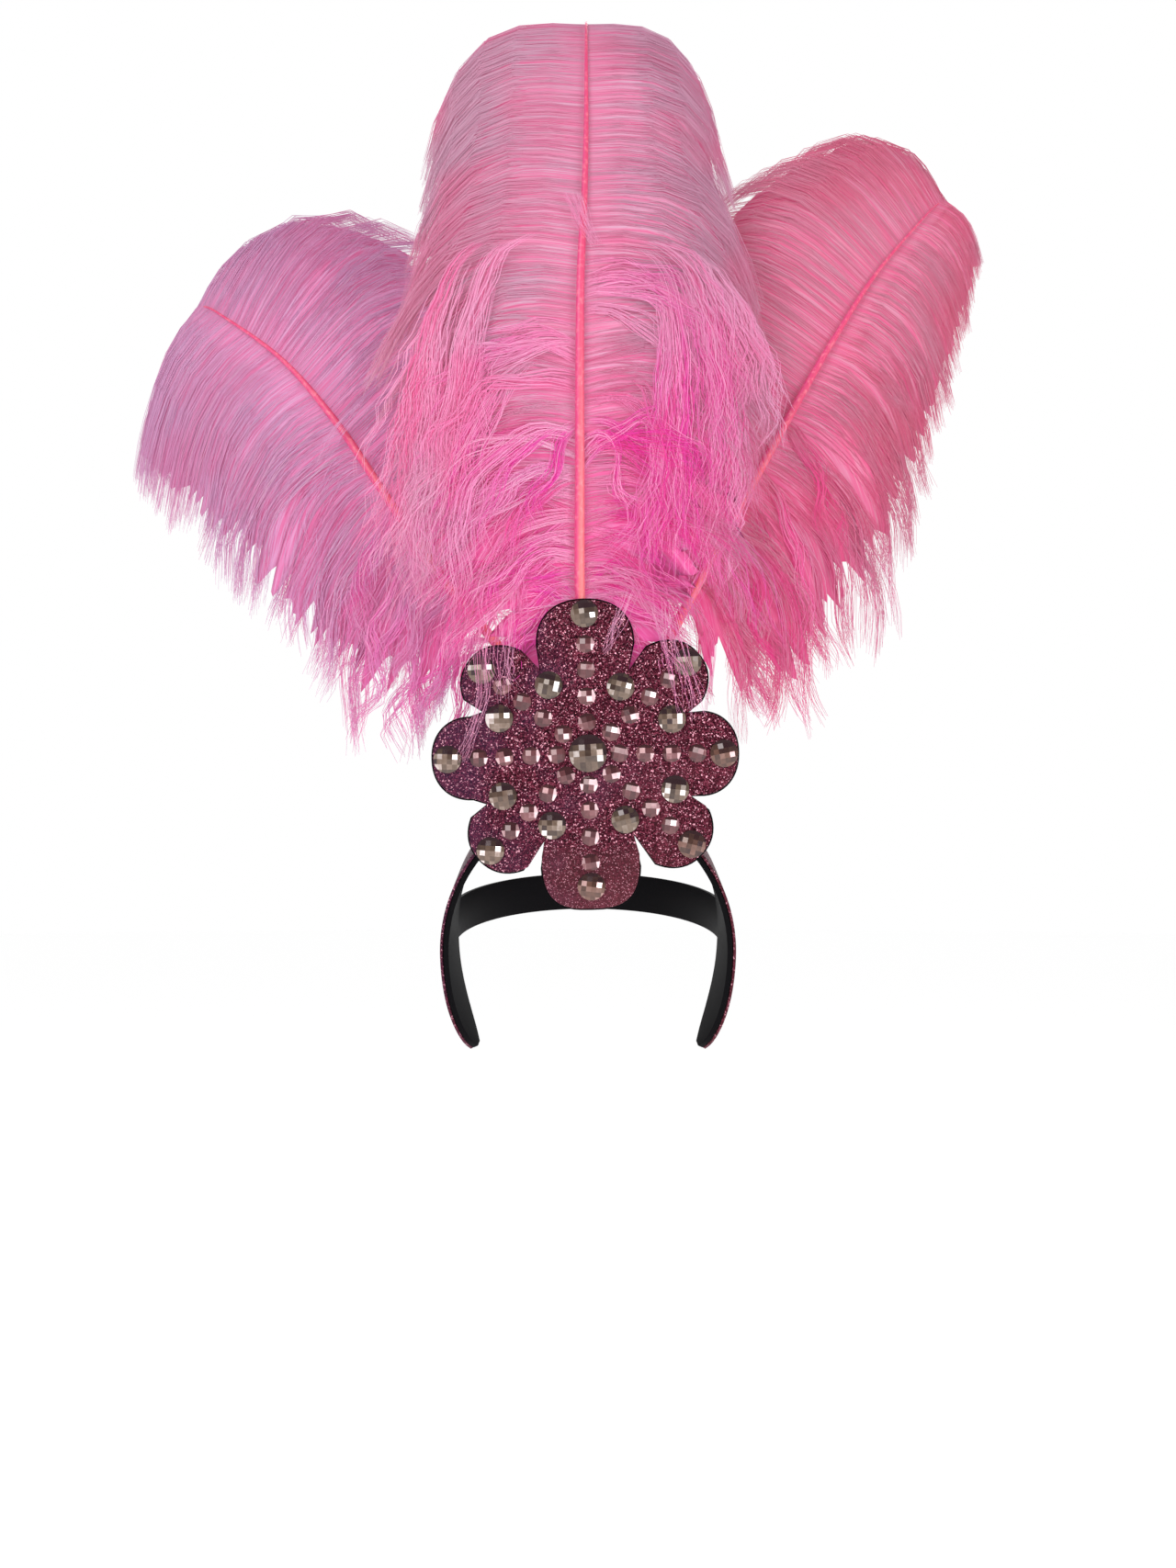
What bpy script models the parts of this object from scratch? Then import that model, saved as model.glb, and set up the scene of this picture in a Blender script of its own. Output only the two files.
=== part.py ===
"""Rhinestone headdress: a glitter flower with domed stones on a head arch, and three ostrich plumes.

Run in Blender 4.5. The scene is in metres and +Z is up; the sizes below are in millimetres. The front
of the headdress faces -Y, and the origin is on the under side of the arch at its top, where it sits
on the head.
"""

import math
from collections import namedtuple

import bmesh
import bpy
import numpy as np
from mathutils import Matrix, Vector

MM = 0.001
GAP = 0.3

# Head arch: a half ellipse that leans with its top forward
ARCH_LEAN = math.radians(20.0)
ARCH_HALF_WIDTH = 78.0
ARCH_HALF_HEIGHT = 88.8
ARCH_LOWER_HALF_HEIGHT = 110.8
ARCH_TIP_Z = -142.0
ARCH_TOE_IN = 4.5
BAND_HALF_DEPTH = 14.0
SHELL_THICKNESS = 1.6
LINING_THICKNESS = 3.0
BAND_THICKNESS = LINING_THICKNESS + GAP + SHELL_THICKNESS
BAND_TIP_TAPER = 34.0
BAND_TIP_HALF_DEPTH = 3.0
BAND_STATIONS = 39

# Strap round the back of the head
STRAP_Z = -72.0
STRAP_RISE = 14.0
STRAP_HALF_HEIGHT = 11.0
STRAP_THICKNESS = 2.2
STRAP_HALF_WIDTH = 75.0
STRAP_REACH = 98.0
STRAP_FLARE = 7.0
STRAP_FLARE_LENGTH = 14.0
STRAP_STATIONS = 29

# Flower plate
FLOWER_Z = 24.1
BACKING_THICKNESS = 2.2
FACE_THICKNESS = 2.0
BACKING_MARGIN = 0.9
PETAL_ARC_STEPS = 8
BAND_FRONT_Y = -(BAND_HALF_DEPTH * math.cos(ARCH_LEAN) + BAND_THICKNESS * math.sin(ARCH_LEAN))
FLOWER_REAR_Y = BAND_FRONT_Y - GAP
FACE_REAR_Y = FLOWER_REAR_Y - BACKING_THICKNESS - GAP
FACE_FRONT_Y = FACE_REAR_Y - FACE_THICKNESS
QUILL_SEAT_DEPTH = 2.4
QUILL_SEAT_Y = FLOWER_REAR_Y + GAP + QUILL_SEAT_DEPTH

# One row for each petal, anticlockwise from the right as seen from the front. end is the depth of its
# round end, whose outline is a superellipse of this power, and the notch is the one after it
Petal = namedtuple("Petal", "name bearing reach half_width end power tip_stone notch_bearing notch_radius")
PETALS = (
    Petal("right", 0.0, 81.5, 22.5, 21.0, 2.2, 74.0, 22.2, 58.5),
    Petal("upper_right", 42.5, 80.5, 22.0, 28.0, 2.2, 73.5, 63.9, 49.5),
    Petal("top", 91.5, 83.5, 26.0, 24.0, 2.3, 76.0, 120.0, 52.0),
    Petal("upper_left", 142.0, 81.5, 22.0, 28.0, 2.2, 73.5, 158.6, 61.0),
    Petal("left", 182.5, 84.5, 22.0, 21.0, 2.2, 76.5, 206.7, 61.0),
    Petal("lower_left", 225.0, 82.5, 22.5, 28.0, 2.2, 75.0, 243.6, 53.0),
    Petal("bottom", 271.5, 84.5, 26.6, 29.0, 3.0, 72.5, 299.4, 50.5),
    Petal("lower_right", 318.8, 82.5, 22.5, 28.0, 2.2, 75.0, 337.6, 60.5),
)
NOTCH_MARGIN = 1.08

# Stones: diameter and where they sit
CENTRE_STONE = 20.5
MEDIUM_STONE = 15.0
SMALL_STONE = 10.0
STONE_SINK = 0.7
MAIN_SIDES = 10
SMALL_SIDES = 8
NOTCH_STONE_INSET = 9.2
SMALL_STONE_RADII = (17.0, 31.0, 45.5, 59.5)

# Share of the stone's radius, and height as a share of its radius, for each ring of facet corners
Ring = namedtuple("Ring", "radius height half_turn")
DOME = (Ring(1.0, 0.14, 0), Ring(0.80, 0.40, 1), Ring(0.44, 0.55, 0))
LOW_DOME = (Ring(1.0, 0.16, 0), Ring(0.52, 0.50, 1))

# Plumes: each quill's way from behind the flower to its curled tip, and rows across its vane
QuillPoint = namedtuple("QuillPoint", "x y z")
# share runs along the vane from its root to its tip; length is a barb's own length; lean is its angle
# from the quill; droop and its power bend it down; curl turns it back; fringe is the depth of the cuts
VaneRow = namedtuple("VaneRow", "share length lean droop power curl fringe")
Plume = namedtuple("Plume", "name quill vane_start base_radius inner_side inner outer")

PLUMES = (
    Plume(
        name="centre",
        quill=(
            QuillPoint(-1.5, QUILL_SEAT_Y, 12.0),
            QuillPoint(-2.5, QUILL_SEAT_Y, 64.5),
            QuillPoint(-4.5, QUILL_SEAT_Y, 114.5),
            QuillPoint(-4.5, -15.0, 176.0),
            QuillPoint(-4.5, -16.0, 234.5),
            QuillPoint(-4.0, -12.0, 286.0),
            QuillPoint(-2.0, -3.0, 331.0),
            QuillPoint(-1.0, 12.0, 375.0),
            QuillPoint(-1.0, 32.0, 421.0),
            QuillPoint(-1.0, 61.0, 447.5),
            QuillPoint(0.0, 95.0, 440.0),
            QuillPoint(0.0, 118.0, 406.0),
            QuillPoint(0.0, 126.0, 366.0),
        ),
        vane_start=0.175,
        base_radius=2.5,
        inner_side=1,
        inner=(
            VaneRow(0.00, 66, 74, 1.7, 1.4, -0.4, 0.30),
            VaneRow(0.14, 124, 76, 2.2, 1.8, -0.3, 0.24),
            VaneRow(0.40, 134, 82, 2.6, 2.2, 0.1, 0.16),
            VaneRow(0.62, 102, 84, 3.2, 2.6, 0.3, 0.10),
            VaneRow(0.76, 91, 86, 4.5, 2.8, 0.6, 0.07),
            VaneRow(0.88, 88, 80, 3.5, 2.4, 0.6, 0.05),
            VaneRow(1.00, 46, 25, 1.0, 2.0, 0.2, 0.00),
        ),
        outer=(
            VaneRow(0.00, 66, 74, 1.7, 1.4, -0.4, 0.30),
            VaneRow(0.14, 118, 78, 2.6, 1.8, -0.3, 0.24),
            VaneRow(0.40, 132, 82, 2.6, 2.2, 0.1, 0.16),
            VaneRow(0.62, 121, 84, 3.2, 2.6, 0.3, 0.10),
            VaneRow(0.76, 113, 86, 4.2, 2.8, 0.6, 0.07),
            VaneRow(0.88, 104, 80, 3.5, 2.4, 0.6, 0.05),
            VaneRow(1.00, 50, 25, 1.0, 2.0, 0.2, 0.00),
        ),
    ),
    Plume(
        name="left",
        quill=(
            QuillPoint(-20.0, QUILL_SEAT_Y, 48.0),
            QuillPoint(-40.3, -10.6, 72.4),
            QuillPoint(-65.2, -2.0, 102.6),
            QuillPoint(-80.1, 3.5, 120.8),
            QuillPoint(-110.6, 13.0, 164.8),
            QuillPoint(-141.2, 27.0, 210.3),
            QuillPoint(-173.9, 42.0, 248.8),
            QuillPoint(-210.3, 62.0, 277.3),
            QuillPoint(-229.0, 84.0, 289.0),
            QuillPoint(-238.0, 106.0, 282.0),
            QuillPoint(-243.0, 120.0, 260.0),
            QuillPoint(-244.0, 126.0, 236.0),
        ),
        vane_start=0.17,
        base_radius=2.4,
        inner_side=1,
        inner=(
            VaneRow(0.00, 60, 78, 0.6, 1.6, 0.0, 0.30),
            VaneRow(0.30, 100, 84, 0.9, 2.0, 0.0, 0.20),
            VaneRow(0.60, 126, 78, 1.2, 2.0, 0.2, 0.12),
            VaneRow(0.80, 104, 66, 1.5, 2.0, 0.3, 0.07),
            VaneRow(1.00, 42, 25, 1.0, 2.0, 0.2, 0.00),
        ),
        outer=(
            VaneRow(0.00, 50, 96, 5.0, 0.7, 0.0, 0.30),
            VaneRow(0.07, 74, 94, 4.6, 0.8, 0.0, 0.30),
            VaneRow(0.15, 106, 88, 4.2, 1.1, 0.0, 0.28),
            VaneRow(0.35, 112, 80, 4.2, 1.7, 0.1, 0.24),
            VaneRow(0.60, 114, 74, 4.4, 1.8, 0.1, 0.16),
            VaneRow(0.80, 100, 66, 4.6, 1.6, 0.2, 0.10),
            VaneRow(0.90, 82, 56, 4.5, 1.3, 0.2, 0.05),
            VaneRow(1.00, 44, 22, 1.0, 2.0, 0.2, 0.00),
        ),
    ),
    Plume(
        name="right",
        quill=(
            QuillPoint(18.0, QUILL_SEAT_Y, 48.0),
            QuillPoint(36.2, -10.6, 72.4),
            QuillPoint(56.5, -2.0, 110.3),
            QuillPoint(72.6, 4.5, 142.0),
            QuillPoint(91.6, 13.0, 175.0),
            QuillPoint(118.8, 27.0, 224.2),
            QuillPoint(140.0, 40.0, 260.8),
            QuillPoint(164.8, 56.0, 299.8),
            QuillPoint(191.3, 76.0, 332.9),
            QuillPoint(211.0, 97.0, 354.0),
            QuillPoint(220.0, 118.0, 349.0),
            QuillPoint(222.0, 131.0, 323.0),
        ),
        vane_start=0.16,
        base_radius=2.4,
        inner_side=-1,
        inner=(
            VaneRow(0.00, 60, 78, 0.6, 1.6, 0.0, 0.30),
            VaneRow(0.30, 100, 84, 0.9, 2.0, 0.0, 0.20),
            VaneRow(0.60, 120, 80, 1.4, 2.1, 0.2, 0.12),
            VaneRow(0.80, 112, 63, 1.5, 2.0, 0.3, 0.07),
            VaneRow(1.00, 50, 32, 1.0, 2.0, 0.2, 0.00),
        ),
        outer=(
            VaneRow(0.00, 50, 96, 5.0, 0.7, 0.0, 0.30),
            VaneRow(0.06, 88, 94, 4.6, 0.8, 0.0, 0.30),
            VaneRow(0.15, 116, 88, 4.0, 1.1, 0.0, 0.28),
            VaneRow(0.35, 108, 80, 4.2, 1.6, 0.1, 0.24),
            VaneRow(0.60, 86, 72, 4.2, 1.7, 0.1, 0.16),
            VaneRow(0.80, 53, 59, 4.0, 1.6, 0.2, 0.10),
            VaneRow(1.00, 26, 10, 1.0, 2.0, 0.2, 0.00),
        ),
    ),
)
QUILL_TIP_RADIUS = 0.6
QUILL_TAPER = 1.5
QUILL_SIDES = 6
QUILL_SAMPLES = 240
VANE_THICKNESS = 2.4
VANE_LOCKS = 18
LOCK_RIPPLE = 1.6
BARB_STEPS = 12
BARB_COLUMNS = (2, 4, 6, 8, 10, 12)
DOWN = np.array((0.0, 0.0, -1.0))
FRONT = np.array((0.0, -1.0, 0.0))


def clear_scene():
    for obj in list(bpy.data.objects):
        bpy.data.objects.remove(obj, do_unlink=True)


def plain_material(name, colour, roughness, metallic=0.0):
    material = bpy.data.materials.new(name)
    material.use_nodes = True
    shader = material.node_tree.nodes["Principled BSDF"]
    shader.inputs["Base Color"].default_value = (*colour, 1.0)
    shader.inputs["Roughness"].default_value = roughness
    shader.inputs["Metallic"].default_value = metallic
    material.diffuse_color = (*colour, 1.0)
    return material


def object_from_bmesh(name, shape, material, smooth=False):
    mesh = bpy.data.meshes.new(name)
    bmesh.ops.recalc_face_normals(shape, faces=shape.faces)
    shape.to_mesh(mesh)
    shape.free()
    mesh.materials.append(material)
    if smooth:
        mesh.shade_smooth()
        mesh.set_sharp_from_angle(angle=math.radians(40.0))
    obj = bpy.data.objects.new(name, mesh)
    bpy.context.scene.collection.objects.link(obj)
    return obj


def bmesh_from(points, faces):
    """A bmesh from points in millimetres and faces as point numbers."""
    shape = bmesh.new()
    corners = [shape.verts.new(Vector(point) * MM) for point in points]
    for face in faces:
        shape.faces.new([corners[index] for index in face])
    return shape


def grid_shell(front, back):
    """Points and faces of a closed shell between two grids of points of the same size."""
    rows, columns = front.shape[:2]
    points = np.concatenate([front.reshape(-1, 3), back.reshape(-1, 3)])
    offset = rows * columns

    def at(row, column, side):
        return side * offset + row * columns + column

    faces = []
    for row in range(rows - 1):
        for column in range(columns - 1):
            corners = ((row, column), (row, column + 1), (row + 1, column + 1), (row + 1, column))
            faces.append([at(*corner, 0) for corner in corners])
            faces.append([at(*corner, 1) for corner in reversed(corners)])
    rim = [(0, column) for column in range(columns - 1)]
    rim += [(row, columns - 1) for row in range(rows - 1)]
    rim += [(rows - 1, column) for column in range(columns - 1, 0, -1)]
    rim += [(row, 0) for row in range(rows - 1, 0, -1)]
    for here, there in zip(rim, rim[1:] + rim[:1]):
        faces.append([at(*here, 1), at(*there, 1), at(*there, 0), at(*here, 0)])
    return points, faces


def swept(profiles):
    """Points and faces of a solid through closed profiles with the same number of points."""
    count = len(profiles[0])
    points = [point for profile in profiles for point in profile]
    faces = [list(range(count))]
    for station in range(len(profiles) - 1):
        for corner in range(count):
            following = (corner + 1) % count
            low = station * count
            high = low + count
            faces.append([low + corner, high + corner, high + following, low + following])
    faces.append([len(points) - 1 - corner for corner in range(count)])
    return points, faces


# Head arch


def arch_point(angle, outward, along):
    """A point of the band: outward from its inner face, and along its depth from front to rear.

    The arms' rear edges turn in towards the head, more the further down they are.
    """
    height = ARCH_HALF_HEIGHT if math.sin(angle) > 0.0 else ARCH_LOWER_HALF_HEIGHT
    centre = Vector((ARCH_HALF_WIDTH * math.cos(angle), height * math.sin(angle) - ARCH_HALF_HEIGHT))
    normal = Vector((height * math.cos(angle), ARCH_HALF_WIDTH * math.sin(angle))).normalized()
    toe = ARCH_TOE_IN * min(1.0, -centre.y / ARCH_HALF_HEIGHT)
    across, up = centre + normal * (outward - toe * (along / BAND_HALF_DEPTH + 1.0) / 2)
    return Vector(
        (
            across,
            -up * math.sin(ARCH_LEAN) + along * math.cos(ARCH_LEAN),
            up * math.cos(ARCH_LEAN) + along * math.sin(ARCH_LEAN),
        )
    )


def arch_angles():
    """Angles of the band's stations, from the right arm's tip over the top to the left arm's tip."""
    tip_up = ARCH_TIP_Z / math.cos(ARCH_LEAN)
    tip = math.asin((tip_up + ARCH_HALF_HEIGHT) / ARCH_LOWER_HALF_HEIGHT)
    return np.linspace(tip, math.pi - tip, BAND_STATIONS)


def band_half_depth(angle, first_angle):
    """The band narrows to a rounded point at the tips of its arms."""
    tip_distance = (min(angle, math.pi - angle) - first_angle) * ARCH_HALF_HEIGHT
    share = max(0.0, 1.0 - tip_distance / BAND_TIP_TAPER)
    rounded = BAND_HALF_DEPTH * math.sqrt(1.0 - share**2)
    return max(BAND_TIP_HALF_DEPTH, rounded)


def make_band(shell_material, lining_material):
    """The band is a thin glitter shell round a thicker lining, and both narrow at the arms' tips."""
    shell, lining = [], []
    angles = arch_angles()
    for angle in angles:
        half = band_half_depth(angle, angles[0])
        for profiles, inner, outer in (
            (shell, LINING_THICKNESS + GAP, BAND_THICKNESS),
            (lining, 0.0, LINING_THICKNESS),
        ):
            corners = ((inner, -half), (outer, -half), (outer, half), (inner, half))
            profiles.append([arch_point(angle, *corner) for corner in corners])
    object_from_bmesh("headband_shell", bmesh_from(*swept(shell)), shell_material, smooth=True)
    object_from_bmesh("headband_lining", bmesh_from(*swept(lining)), lining_material, smooth=True)


def make_strap(material):
    """A strap that starts on the arms' rear edges, flares there, and rises round the back of the head."""
    profiles = []
    for angle in np.linspace(0.0, math.pi, STRAP_STATIONS):
        sideways, back = math.cos(angle), math.sin(angle)
        run = min(angle, math.pi - angle) * STRAP_REACH
        flare = STRAP_FLARE * max(0.0, 1.0 - run / STRAP_FLARE_LENGTH) ** 2
        middle = STRAP_Z + STRAP_RISE * back
        profile = []
        for outward, z in (
            (0.0, middle - STRAP_HALF_HEIGHT - flare),
            (STRAP_THICKNESS, middle - STRAP_HALF_HEIGHT - flare),
            (STRAP_THICKNESS, middle + STRAP_HALF_HEIGHT),
            (0.0, middle + STRAP_HALF_HEIGHT),
        ):
            edge_z = z - STRAP_RISE * back
            rear_edge = arch_point(math.pi / 2, 0.0, BAND_HALF_DEPTH + GAP)
            start = rear_edge.y + (rear_edge.z - edge_z) * math.tan(ARCH_LEAN)
            profile.append(
                Vector(
                    (
                        (STRAP_HALF_WIDTH + outward) * sideways,
                        start + (STRAP_REACH + outward) * back,
                        z,
                    )
                )
            )
        profiles.append(profile)
    object_from_bmesh("back_strap", bmesh_from(*swept(profiles)), material, smooth=True)


# Flower plate


def on_flower(bearing, radius):
    """Sideways and upward place of a point of the flower."""
    angle = math.radians(bearing)
    return radius * math.cos(angle), FLOWER_Z + radius * math.sin(angle)


def flower_outline(margin):
    """Each petal's end is part of a superellipse, and straight sides run from it to the notches."""
    points = []
    for number, petal in enumerate(PETALS):
        bearing = math.radians(petal.bearing)
        before = (PETALS[number - 1].notch_bearing - petal.bearing) % 360.0 - 360.0
        after = petal.notch_bearing - petal.bearing
        for step in range(PETAL_ARC_STEPS + 1):
            turn = math.pi * (step / PETAL_ARC_STEPS - 0.5)
            rise = max(0.0, math.cos(turn)) ** (2.0 / petal.power)
            side = math.copysign(abs(math.sin(turn)) ** (2.0 / petal.power), turn)
            along = petal.reach - petal.end + (petal.end + margin) * rise
            across = (petal.half_width + margin) * side
            if not before < math.degrees(math.atan2(across, along)) * NOTCH_MARGIN < after:
                continue
            x = along * math.cos(bearing) - across * math.sin(bearing)
            z = along * math.sin(bearing) + across * math.cos(bearing)
            points.append((x, FLOWER_Z + z))
        points.append(on_flower(petal.notch_bearing, petal.notch_radius + margin))
    return points


def plate_shape(rear_y, thickness, margin):
    """The flower's outline, extruded towards the rear."""
    shape = bmesh_from([(x, rear_y - thickness, z) for x, z in flower_outline(margin)], ())
    face = shape.faces.new(shape.verts[:])
    grown = bmesh.ops.extrude_face_region(shape, geom=[face])
    moved = [part for part in grown["geom"] if isinstance(part, bmesh.types.BMVert)]
    bmesh.ops.translate(shape, verts=moved, vec=(0.0, thickness * MM, 0.0))
    return shape


def stone_shape(radius, sides, rings, sink):
    """A domed stone with a flat back at height -sink and a table on top, along +Z, in millimetres."""
    points = [
        (radius * math.cos(turn), radius * math.sin(turn), -sink)
        for turn in (2 * math.pi * side / sides for side in range(sides))
    ]
    for ring in rings:
        for side in range(sides):
            turn = 2 * math.pi * (side + 0.5 * ring.half_turn) / sides
            reach = radius * ring.radius
            points.append((reach * math.cos(turn), reach * math.sin(turn), radius * ring.height))
    faces = [list(range(sides))[::-1]]
    for level in range(len(rings)):
        low, high = level * sides, (level + 1) * sides
        turned_before = rings[level - 1].half_turn if level else 0
        for side in range(sides):
            after = (side + 1) % sides
            if rings[level].half_turn == turned_before:
                faces.append([low + side, low + after, high + after, high + side])
            elif turned_before:
                faces.append([low + side, high + after, high + side])
                faces.append([low + side, low + after, high + after])
            else:
                faces.append([low + side, low + after, high + side])
                faces.append([low + after, high + after, high + side])
    faces.append([len(points) - sides + side for side in range(sides)])
    return bmesh_from(points, faces)


def stone_place(bearing, radius, lift):
    """Where a stone's flat back lies in front of the face, with the stone's +Z to the front."""
    x, z = on_flower(bearing, radius)
    place = Vector((x, FACE_FRONT_Y - lift, z)) * MM
    return Matrix.Translation(place) @ Matrix.Rotation(math.pi / 2, 4, "X")


def make_stone(name, bearing, radius, diameter, material):
    shape = stone_shape(diameter / 2, MAIN_SIDES, DOME, 0.0)
    shape.transform(stone_place(bearing, radius, GAP))
    return object_from_bmesh(name, shape, material)


def make_small_stones():
    """The field of small stones on the petals, as a helper that is then joined to the face."""
    field = bmesh.new()
    for petal in PETALS:
        for radius in SMALL_STONE_RADII:
            stone = stone_shape(SMALL_STONE / 2, SMALL_SIDES, LOW_DOME, STONE_SINK)
            stone.transform(stone_place(petal.bearing, radius, 0.0))
            scratch = bpy.data.meshes.new("stone")
            bmesh.ops.recalc_face_normals(stone, faces=stone.faces)
            stone.to_mesh(scratch)
            stone.free()
            field.from_mesh(scratch)
            bpy.data.meshes.remove(scratch)
    helper = object_from_bmesh("small_stones", field, bpy.data.materials["stone"])
    helper.hide_render = True
    helper.display_type = "WIRE"
    return helper


def make_flower(glitter, black, stone):
    backing = plate_shape(FLOWER_REAR_Y, BACKING_THICKNESS, BACKING_MARGIN)
    object_from_bmesh("flower_backing", backing, black)
    face = object_from_bmesh("flower_face", plate_shape(FACE_REAR_Y, FACE_THICKNESS, 0.0), glitter)
    union = face.modifiers.new("small stones", "BOOLEAN")
    union.operation = "UNION"
    union.solver = "EXACT"
    union.object = make_small_stones()
    make_stone("centre_stone", 0.0, 0.0, CENTRE_STONE, stone)
    for number, petal in enumerate(PETALS, 1):
        make_stone(f"tip_stone_{number}", petal.bearing, petal.tip_stone, MEDIUM_STONE, stone)
        notch = petal.notch_radius - NOTCH_STONE_INSET
        make_stone(f"notch_stone_{number}", petal.notch_bearing, notch, MEDIUM_STONE, stone)


# Plumes


def smooth_curve(points, count):
    """Points evenly spaced along a Catmull-Rom curve through the given points."""
    points = np.array(points, float)
    padded = np.vstack([2 * points[0] - points[1], points, 2 * points[-1] - points[-2]])
    fine = []
    spans = len(points) - 1
    for place in np.linspace(0.0, spans, 4 * count):
        span = min(int(place), spans - 1)
        t = place - span
        a, b, c, d = padded[span : span + 4]
        fine.append(
            0.5 * (2 * b + (c - a) * t + (2 * a - 5 * b + 4 * c - d) * t**2 + (3 * b - a - 3 * c + d) * t**3)
        )
    fine = np.array(fine)
    travelled = np.concatenate([[0.0], np.cumsum(np.linalg.norm(np.diff(fine, axis=0), axis=1))])
    even = np.linspace(0.0, travelled[-1], count + 1)
    return np.stack([np.interp(even, travelled, fine[:, axis]) for axis in range(3)], axis=1)


def curve_frames(curve):
    """Unit tangents, and normals that start to the front and turn as little as they can."""
    tangents = np.gradient(curve, axis=0)
    tangents /= np.linalg.norm(tangents, axis=1)[:, None]
    normal = FRONT
    normals = []
    for tangent in tangents:
        normal = normal - normal.dot(tangent) * tangent
        normal = normal / np.linalg.norm(normal)
        normals.append(normal)
    return tangents, np.array(normals)


def quill_radius(plume, share):
    return plume.base_radius + (QUILL_TIP_RADIUS - plume.base_radius) * share**QUILL_TAPER


def vane_value(rows, column, share):
    return float(np.interp(share, [row.share for row in rows], [getattr(row, column) for row in rows]))


def barb_points(root, tangent, normal, side, rows, share, length):
    """Points of one barb, which leaves the quill at its lean, bends down and curls back."""
    lean = math.radians(vane_value(rows, "lean", share))
    sideways = side * np.cross(tangent, normal)
    start = math.cos(lean) * tangent + math.sin(lean) * sideways
    droop = vane_value(rows, "droop", share)
    power = vane_value(rows, "power", share)
    curl = vane_value(rows, "curl", share)
    points = [root]
    for step in range(BARB_STEPS):
        weight = ((step + 0.5) / BARB_STEPS) ** power
        heading = start + weight * (droop * DOWN - curl * normal)
        points.append(points[-1] + heading / np.linalg.norm(heading) * length / BARB_STEPS)
    return np.array(points)


def vane_samples(plume):
    """Samples of the quill's curve at the vane's stations, from its root to its tip."""
    places = np.linspace(plume.vane_start, 1.0, 2 * VANE_LOCKS + 1)
    return [round(place * QUILL_SAMPLES) for place in places]


def make_quill(plume, curve, tangents, normals, material):
    """The shaft, whose stations along the vane are the vane's own, so that the two keep their gap."""
    profiles = []
    vane = vane_samples(plume)
    for station in [0, vane[0] // 2, *vane]:
        radius = quill_radius(plume, station / QUILL_SAMPLES)
        sideways = np.cross(tangents[station], normals[station])
        turns = (2 * math.pi * side / QUILL_SIDES for side in range(QUILL_SIDES))
        profiles.append(
            [
                curve[station] + radius * (math.cos(turn) * sideways + math.sin(turn) * normals[station])
                for turn in turns
            ]
        )
    object_from_bmesh(f"{plume.name}_quill", bmesh_from(*swept(profiles)), material, smooth=True)


def make_vane(plume, curve, tangents, normals, material):
    """The vane as one web behind the quill, whose edges are cut into pointed locks."""
    fronts, backs = [], []
    samples = vane_samples(plume)
    for index, sample in enumerate(samples):
        share = index / (len(samples) - 1)
        tangent, normal = tangents[sample], normals[sample]
        behind = quill_radius(plume, sample / QUILL_SAMPLES) + GAP + VANE_THICKNESS / 2
        root = curve[sample] - normal * behind
        lock = index % 2
        middle = [root]
        ripple = [0.0]
        for side in (-1, 1):
            rows = plume.inner if side == plume.inner_side else plume.outer
            cut = 0.0 if lock else vane_value(rows, "fringe", share)
            length = vane_value(rows, "length", share) * (1.0 - cut)
            barb = barb_points(root, tangent, normal, side, rows, share, length)[list(BARB_COLUMNS)]
            heights = [LOCK_RIPPLE * (2 * lock - 1) * column / BARB_STEPS for column in BARB_COLUMNS]
            if side < 0:
                middle = list(barb[::-1]) + middle
                ripple = heights[::-1] + ripple
            else:
                middle += list(barb)
                ripple += heights
        middle = np.array(middle) + np.array(ripple)[:, None] * normal
        fronts.append(middle + normal * VANE_THICKNESS / 2)
        backs.append(middle - normal * VANE_THICKNESS / 2)
    shape = bmesh_from(*grid_shell(np.array(fronts), np.array(backs)))
    object_from_bmesh(f"{plume.name}_plume", shape, material, smooth=True)


def make_plume(plume, quill_material, vane_material):
    curve = smooth_curve(plume.quill, QUILL_SAMPLES)
    tangents, normals = curve_frames(curve)
    make_quill(plume, curve, tangents, normals, quill_material)
    make_vane(plume, curve, tangents, normals, vane_material)


def main():
    clear_scene()
    glitter = plain_material("glitter", (0.36, 0.17, 0.24), 0.45, 0.3)
    black = plain_material("black", (0.012, 0.011, 0.013), 0.8)
    stone = plain_material("stone", (0.78, 0.62, 0.64), 0.08, 0.2)
    quill = plain_material("quill", (0.80, 0.16, 0.28), 0.45)
    vane = plain_material("vane", (0.88, 0.26, 0.55), 0.7)
    make_flower(glitter, black, stone)
    make_band(glitter, black)
    make_strap(black)
    for plume in PLUMES:
        make_plume(plume, quill, vane)


main()
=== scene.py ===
"""Looks of a rhinestone headdress: a glitter flower with domed stones on a head arch, and three plumes.

Run in Blender 4.5. Sizes are in millimetres unless a name says otherwise, +Z is up and the front faces -Y.
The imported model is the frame: each piece here stands where its CAD node stands and rides on the same body.
"""

import logging
import math
from dataclasses import dataclass
from enum import Enum
from typing import Any, Callable, NamedTuple, Sequence

import bmesh
import bpy
import numpy as np
from mathutils import Matrix, Vector


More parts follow.
